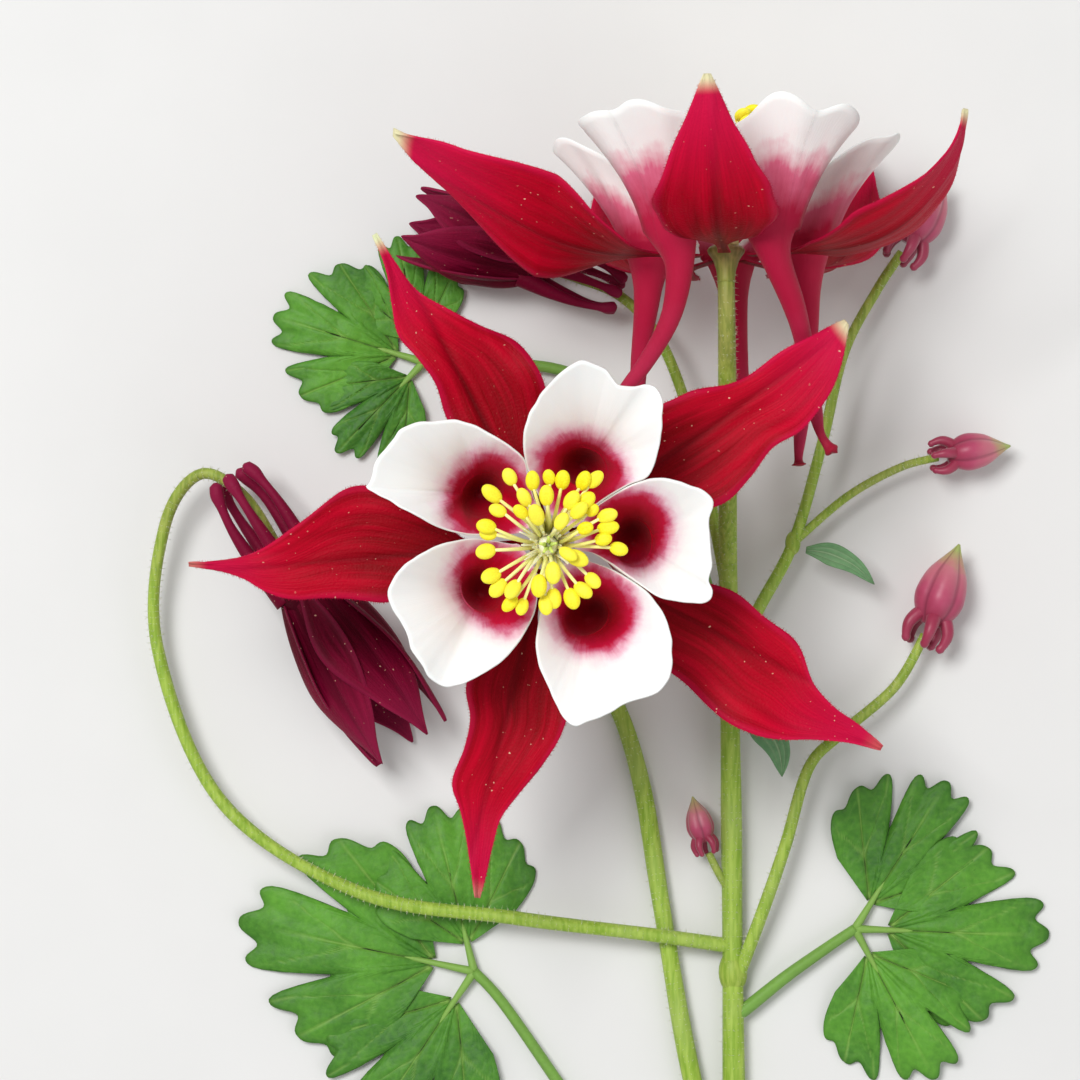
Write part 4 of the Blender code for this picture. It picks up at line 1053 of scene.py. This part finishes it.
def bloom(prefix, matrix, sepals, petals, anthers, seed):
    for i, spec in enumerate(sepals):
        show(sepal(*spec, seed + 10 * i), f"{prefix}_sepal_{i + 1}", "sepal", matrix)
    for i, spec in enumerate(petals):
        show(petal(*spec, SPUR_SIZES[prefix], seed + 3 * i), f"{prefix}_petal_{i + 1}", "petal", matrix)
    show(stamens(anthers, seed), f"{prefix}_stamens", "stamens", matrix)
    show(pistil(seed), f"{prefix}_pistil", "pistil", matrix)


# Blooms that are still closed

def half_open(name, spec, seed):
    """Five sepals round five petals, with the petals' spurs behind them."""
    centre, facing, length, half_width, spur = spec
    shape = Shape()
    draw = np.random.default_rng(seed)
    u, v = grid(56, 20)
    across = (v + 1) / 2
    keel = ridge(v, 0.16)
    for i in range(5):
        spread = draw.uniform(0.8, 1.12)
        width = half_width * curve(CLOSED_SEPAL, u)
        width = width * (1 + 0.07 * waves(u * 9, i + np.sign(v) * 5, seed + i))
        out = half_width * (0.45 + spread * np.sin(1.9 * u) * 0.62) - 0.22 * width * v**2
        out = out - 0.3 * keel * np.sin(math.pi * u) + 0.3 * waves(u * 7, v * 3, seed + 5 + i) * np.abs(v)
        way = way_of(FIFTH * i + FIRST_WAY)
        # Painted shade in the crease down each sepal's keel
        shape.sheet(points_at(way, out, width * v, length * u - 1.0), mask(u, across, 0.6 * keel), 0.4)
        way = way_of(FIFTH * (i + 0.5) + FIRST_WAY)
        width = half_width * level(CLOSED_PETAL, u)
        out = half_width * (0.3 + 0.3 * np.sin(2.2 * u)) - 0.3 * width * v**2
        points = points_at(way, out, width * v, length * 0.66 * u - 0.5)
        shape.sheet(points, mask(0.55 + 0.5 * u, across), 0.35)
        hook = left_of(way) * draw.uniform(-0.8, 0.8)
        line = [way * half_width * reach + hook * share**2 - UP * spur * share
                for share, reach in CLOSED_SPUR]
        radii = half_width * curve(CLOSED_SPUR_RADII, shares(SPUR_POINTS))
        values = mask(np.linspace(0.5, 0.95, SPUR_POINTS), 0.5)
        shape.tube(even_spline(line, SPUR_POINTS), radii, 14, values)
    # The middle ball is darkened as painted shade inside the bloom
    shape.ball((0, 0, 1.0), half_width * np.array([0.66, 0.66, 0.8]), (0.2, 0.5, 0.6, 0), (24, 16))
    show(shape, name, "half open", facing_frame(centre, facing))


def closed_bud(name, spec):
    """A pointed bud with five keels and the knobs of five short spurs round its foot."""
    centre, facing, length = spec
    shape = Shape()
    turn = turns(60)[None, :]
    along = shares(40)[:, None]
    keel = np.abs(np.sin(2.5 * turn + 0.25 * along))
    size = curve(BUD_SHAPE, along) * length * (0.86 + 0.14 * keel)
    points = stacked(size * np.cos(turn), size * np.sin(turn), length * along)
    # The grooves between the keels carry painted shade
    shape.rings(points, mask(along, ridge(keel, 0.2)))
    radii = level(BUD_SPUR_RADII, shares(20)) * length
    for i in range(5):
        way = way_of(FIFTH * (i + 0.5))
        line = even_spline([(way * out + UP * rise) * length for out, rise in BUD_SPUR], 20)
        shape.tube(line, radii, 12, (0.05, 0.0, 0, 0))
    show(shape, name, "bud", facing_frame(centre, facing))


# Leaves

def leaflet(shape, centre, azimuth, length, half_width, seed):
    """A fan of three deep lobes, each toothed, with veins that fork towards the teeth."""
    share, across = grid(*LEAFLET_GRID)
    spread = math.radians(LEAFLET_SPREAD)
    cleft = ridge(np.abs(across) - CLEFT_PLACE, 0.055)
    teeth = stripes(2 * math.pi * across * 4.5)
    ends = np.clip((np.abs(across) - 0.8) / 0.2, 0, 1)
    reach_to = 0.97 - 0.34 * cleft - 0.09 * (1 - teeth) ** 1.5 - 0.34 * ends**1.6
    reach_to += 0.03 * waves(across * 11, 0, seed)
    angle = across * spread
    out = length * (0.04 + 0.96 * share * reach_to) * (1 - 0.12 * (1 - np.cos(angle)))
    forward = out * np.cos(angle)
    side = out * np.sin(angle) * half_width / (length * math.sin(spread) * 0.86)
    vein = np.zeros(LEAFLET_GRID)
    width = 0.22 * (1.2 - 0.8 * share) / (0.12 + share * length * spread)
    for lobe in (-LOBE_STEP, 0.0, LOBE_STEP):
        for tooth in (-TOOTH_STEP, 0.0, TOOTH_STEP):
            line = lobe + tooth * smooth((share - 0.28) / 0.6)
            vein = np.maximum(vein, ridge(across - line, width) * (0.55 if tooth else 1.0))
    crossing = 0.5 + 0.5 * np.sin(share * 60 + 3 * waves(across * 9, share * 9, seed + 2))
    vein = np.clip(vein + 0.12 * crossing**8, 0, 1) * (1 - 0.3 * share)
    dome = np.sin(math.pi * np.minimum(share * 1.05, 1.0)) * (0.6 + 0.4 * np.cos(3 * angle))
    height = LEAF_LEVEL - 0.75 + 0.9 * dome - 0.22 * vein
    height += 0.55 * share * (0.6 + waves(forward * 0.3, side * 0.3, seed))
    height += 0.1 * share * waves(forward * 1.6, side * 1.6, seed + 1)
    points = points_at(way_of(azimuth), forward, side, np.maximum(height, 0.25)) + centre * (1, 1, 0)
    edge = np.clip((share - 0.93) / 0.07, 0, 1)
    shade = np.clip(0.5 + 0.35 * waves(forward * 0.2, side * 0.2, seed + 4), 0, 1)
    shape.sheet(points, mask(vein, 0.0, edge, shade), 0.34)


def leaf(name, spec, seed):
    """A petiole with three leaflets, each on a short stalk."""
    petiole, leaflets = spec
    shape = Shape()
    shape.tube(even_spline(petiole, 60), np.linspace(0.82, 0.6, 60), 12, (0.6, 0.0, 0.0, 0.6))
    end = np.array(petiole[-1])
    for i, (azimuth, length, half_width) in enumerate(leaflets):
        way = way_of(azimuth)
        start = end + way * (0.16 * length)
        leaflet(shape, start, azimuth, length * 0.84, half_width, seed + 7 * i)
        into = start + way * (0.2 * length)
        into[2] = 0.7
        stalk = even_spline((end, (end + into) / 2, into), 14)
        shape.tube(stalk, np.linspace(0.52, 0.18, 14), 10, (0.9, 0.0, 0.0, 0.6))
    show(shape, name, "leaf")


def bract(name, spec):
    """A narrow blade along a bent line, with three veins."""
    start, line, half_width = spec
    u, across = grid(60, 22)
    middle = even_spline([(*point, 0.0) for point in line], 60)
    side = unit(left_of(np.gradient(middle, axis=0)))
    width = half_width * curve(BRACT_SHAPE, u)
    points = middle[:, None, :] + (across * width)[..., None] * side[:, None, :]
    points[..., 2] = start + 0.6 * np.sin(math.pi * u) - 0.5 * u + 0.25 * width * across**2
    vein = np.clip(ridge(across, 0.09) + 0.5 * ridge(np.abs(across) - 0.5, 0.07), 0, 1)
    shape = Shape()
    shape.sheet(points, mask(vein, 0.0, 0.0, 0.7), 0.32)
    show(shape, name, "bract")


# The stem with its branches and fine hairs

def stem():
    shape = Shape()
    draw = np.random.default_rng(5)
    for points, first_radius, last_radius, purple_start, purple_end in BRANCHES:
        span = np.linalg.norm(np.diff(np.array(points, float), axis=0), axis=1).sum()
        count = int(span * 1.3) + 12
        line = even_spline(points, count)
        share = shares(count)
        uneven = 1 + 0.035 * waves(share * span * 0.25, 0, int(span))
        if purple_start >= purple_end:
            purple = purple_start * smooth(1 - share * span / 60)
        else:
            purple = purple_end * smooth(1 - (1 - share) * span / 40)
        radii = np.linspace(first_radius, last_radius, count) * uneven
        rings = shape.tube(line, radii, STEM_SIDES, mask(purple), 0.02)
        for _ in range(int(span * 22)):
            i = draw.integers(1, count - 1)
            root = rings[i, draw.integers(0, STEM_SIDES)]
            way = hair_way(draw, unit(root - line[i]), STEM_HAIRS)
            shape.hair(root, way, line[i] - line[i - 1], (0, 0, 0, 0.8))
    for centre, radii in SWOLLEN_NODES:
        shape.ball(centre, radii, (0.2, 0, 0, 0), (24, 16))
    cut = even_spline(STEM[-2:], 30)[-2:]
    cut[1] = cut[1] + (cut[1] - cut[0]) * 0.05
    shape.tube(cut, (1.3, 1.28), 20, (0, 0, 1.0, 0))
    for matrix, low in ((MAIN_FRAME, -3.4), (TOP_FRAME, -4.6)):
        line = placed(UP * np.linspace(low, -0.6, 14)[:, None], matrix)
        shape.tube(line, level(RECEPTACLE_RADII, shares(14)), 28, mask(np.linspace(0.5, 0.9, 14)))
    show(shape, "stem", "stem")


# The whole plant

main_sepals = [(azimuth, rows, rise, fold, 0, 0, pale) for azimuth, rise, fold, pale, rows in MAIN_SEPALS]
main_petals = []
for i, (azimuth, (reach, offset), outline) in enumerate(MAIN_PETALS):
    spur_line = [(THROAT_DISTANCE, 0, 0)]
    spur_line += [(THROAT_DISTANCE + (reach - THROAT_DISTANCE) * share, offset * share, depth)
                  for share, depth in SPUR_DEPTHS]
    main_petals.append((azimuth, main_rim(azimuth, outline, 20 + i), spur_line, MAIN_ZONES[i]))
bloom("main", MAIN_FRAME, main_sepals, main_petals, ANTHERS, 3)

top_sepals = [(azimuth, [(share * length, -width * half, width * half) for share, width in SEPAL_SHAPE],
               rise, fold, bend, roll, 0.85)
              for azimuth, length, half, bend, roll, rise, fold in TOP_SEPALS]
top_petals = [(azimuth, top_rim(*corners, 40 + i), [(THROAT_DISTANCE, 0, 0), *line], TOP_ZONE)
              for i, (azimuth, corners, line) in enumerate(TOP_PETALS)]
bloom("top", TOP_FRAME, top_sepals, top_petals, tuft_of(TOP_TUFT, 9), 60)

stem()
half_open("left_bloom", LEFT_BLOOM, 31)
half_open("dark_bloom", DARK_BLOOM, 32)
for name, spec in BUDS.items():
    closed_bud(name, spec)
for i, (name, spec) in enumerate(LEAVES.items()):
    leaf(name, spec, 70 + 11 * i)
for name, spec in BRACTS.items():
    bract(name, spec)


# Floor, light and camera

floor_paint = Paint("floor pale")
floor_grain = floor_paint.noise(floor_paint.place, 60.0)
floor_paint.finish(floor_paint.mix(floor_grain, (0.70, 0.70, 0.69), (0.74, 0.74, 0.73)), 0.7)
bpy.ops.mesh.primitive_plane_add(size=FLOOR_SIZE, location=(0, 0, -0.0002))
floor = bpy.context.object
floor.name = "floor"
floor.data.materials.append(floor_paint.material)

bloom_place = Vector((-PLANT_MIDDLE[0], -PLANT_MIDDLE[1], MAIN_HEIGHT)) * MM
for name, way, size, power in LIGHTS:
    light = bpy.data.lights.new(name, "AREA")
    light.size = size
    light.energy = power
    obj = bpy.data.objects.new(name, light)
    obj.location = bloom_place + Vector(way)
    obj.rotation_euler = (-Vector(way)).to_track_quat("-Z", "Y").to_euler()
    bpy.context.scene.collection.objects.link(obj)

world = bpy.data.worlds.new("studio")
world.use_nodes = True
background = world.node_tree.nodes["Background"]
background.inputs["Color"].default_value = (1, 1, 1, 1)
background.inputs["Strength"].default_value = WORLD_STRENGTH
bpy.context.scene.world = world
bpy.context.scene.view_settings.view_transform = "Standard"

camera = bpy.data.objects.new("camera", bpy.data.cameras.new("camera"))
camera.data.sensor_width = SENSOR_WIDTH
camera.data.lens = SENSOR_WIDTH * CAMERA_DISTANCE / FRAME_WIDTH
camera.data.clip_start = 0.01
camera.location = bloom_place + Vector((*CAMERA_OFFSET, CAMERA_DISTANCE))
bpy.context.scene.collection.objects.link(camera)
bpy.context.scene.camera = camera
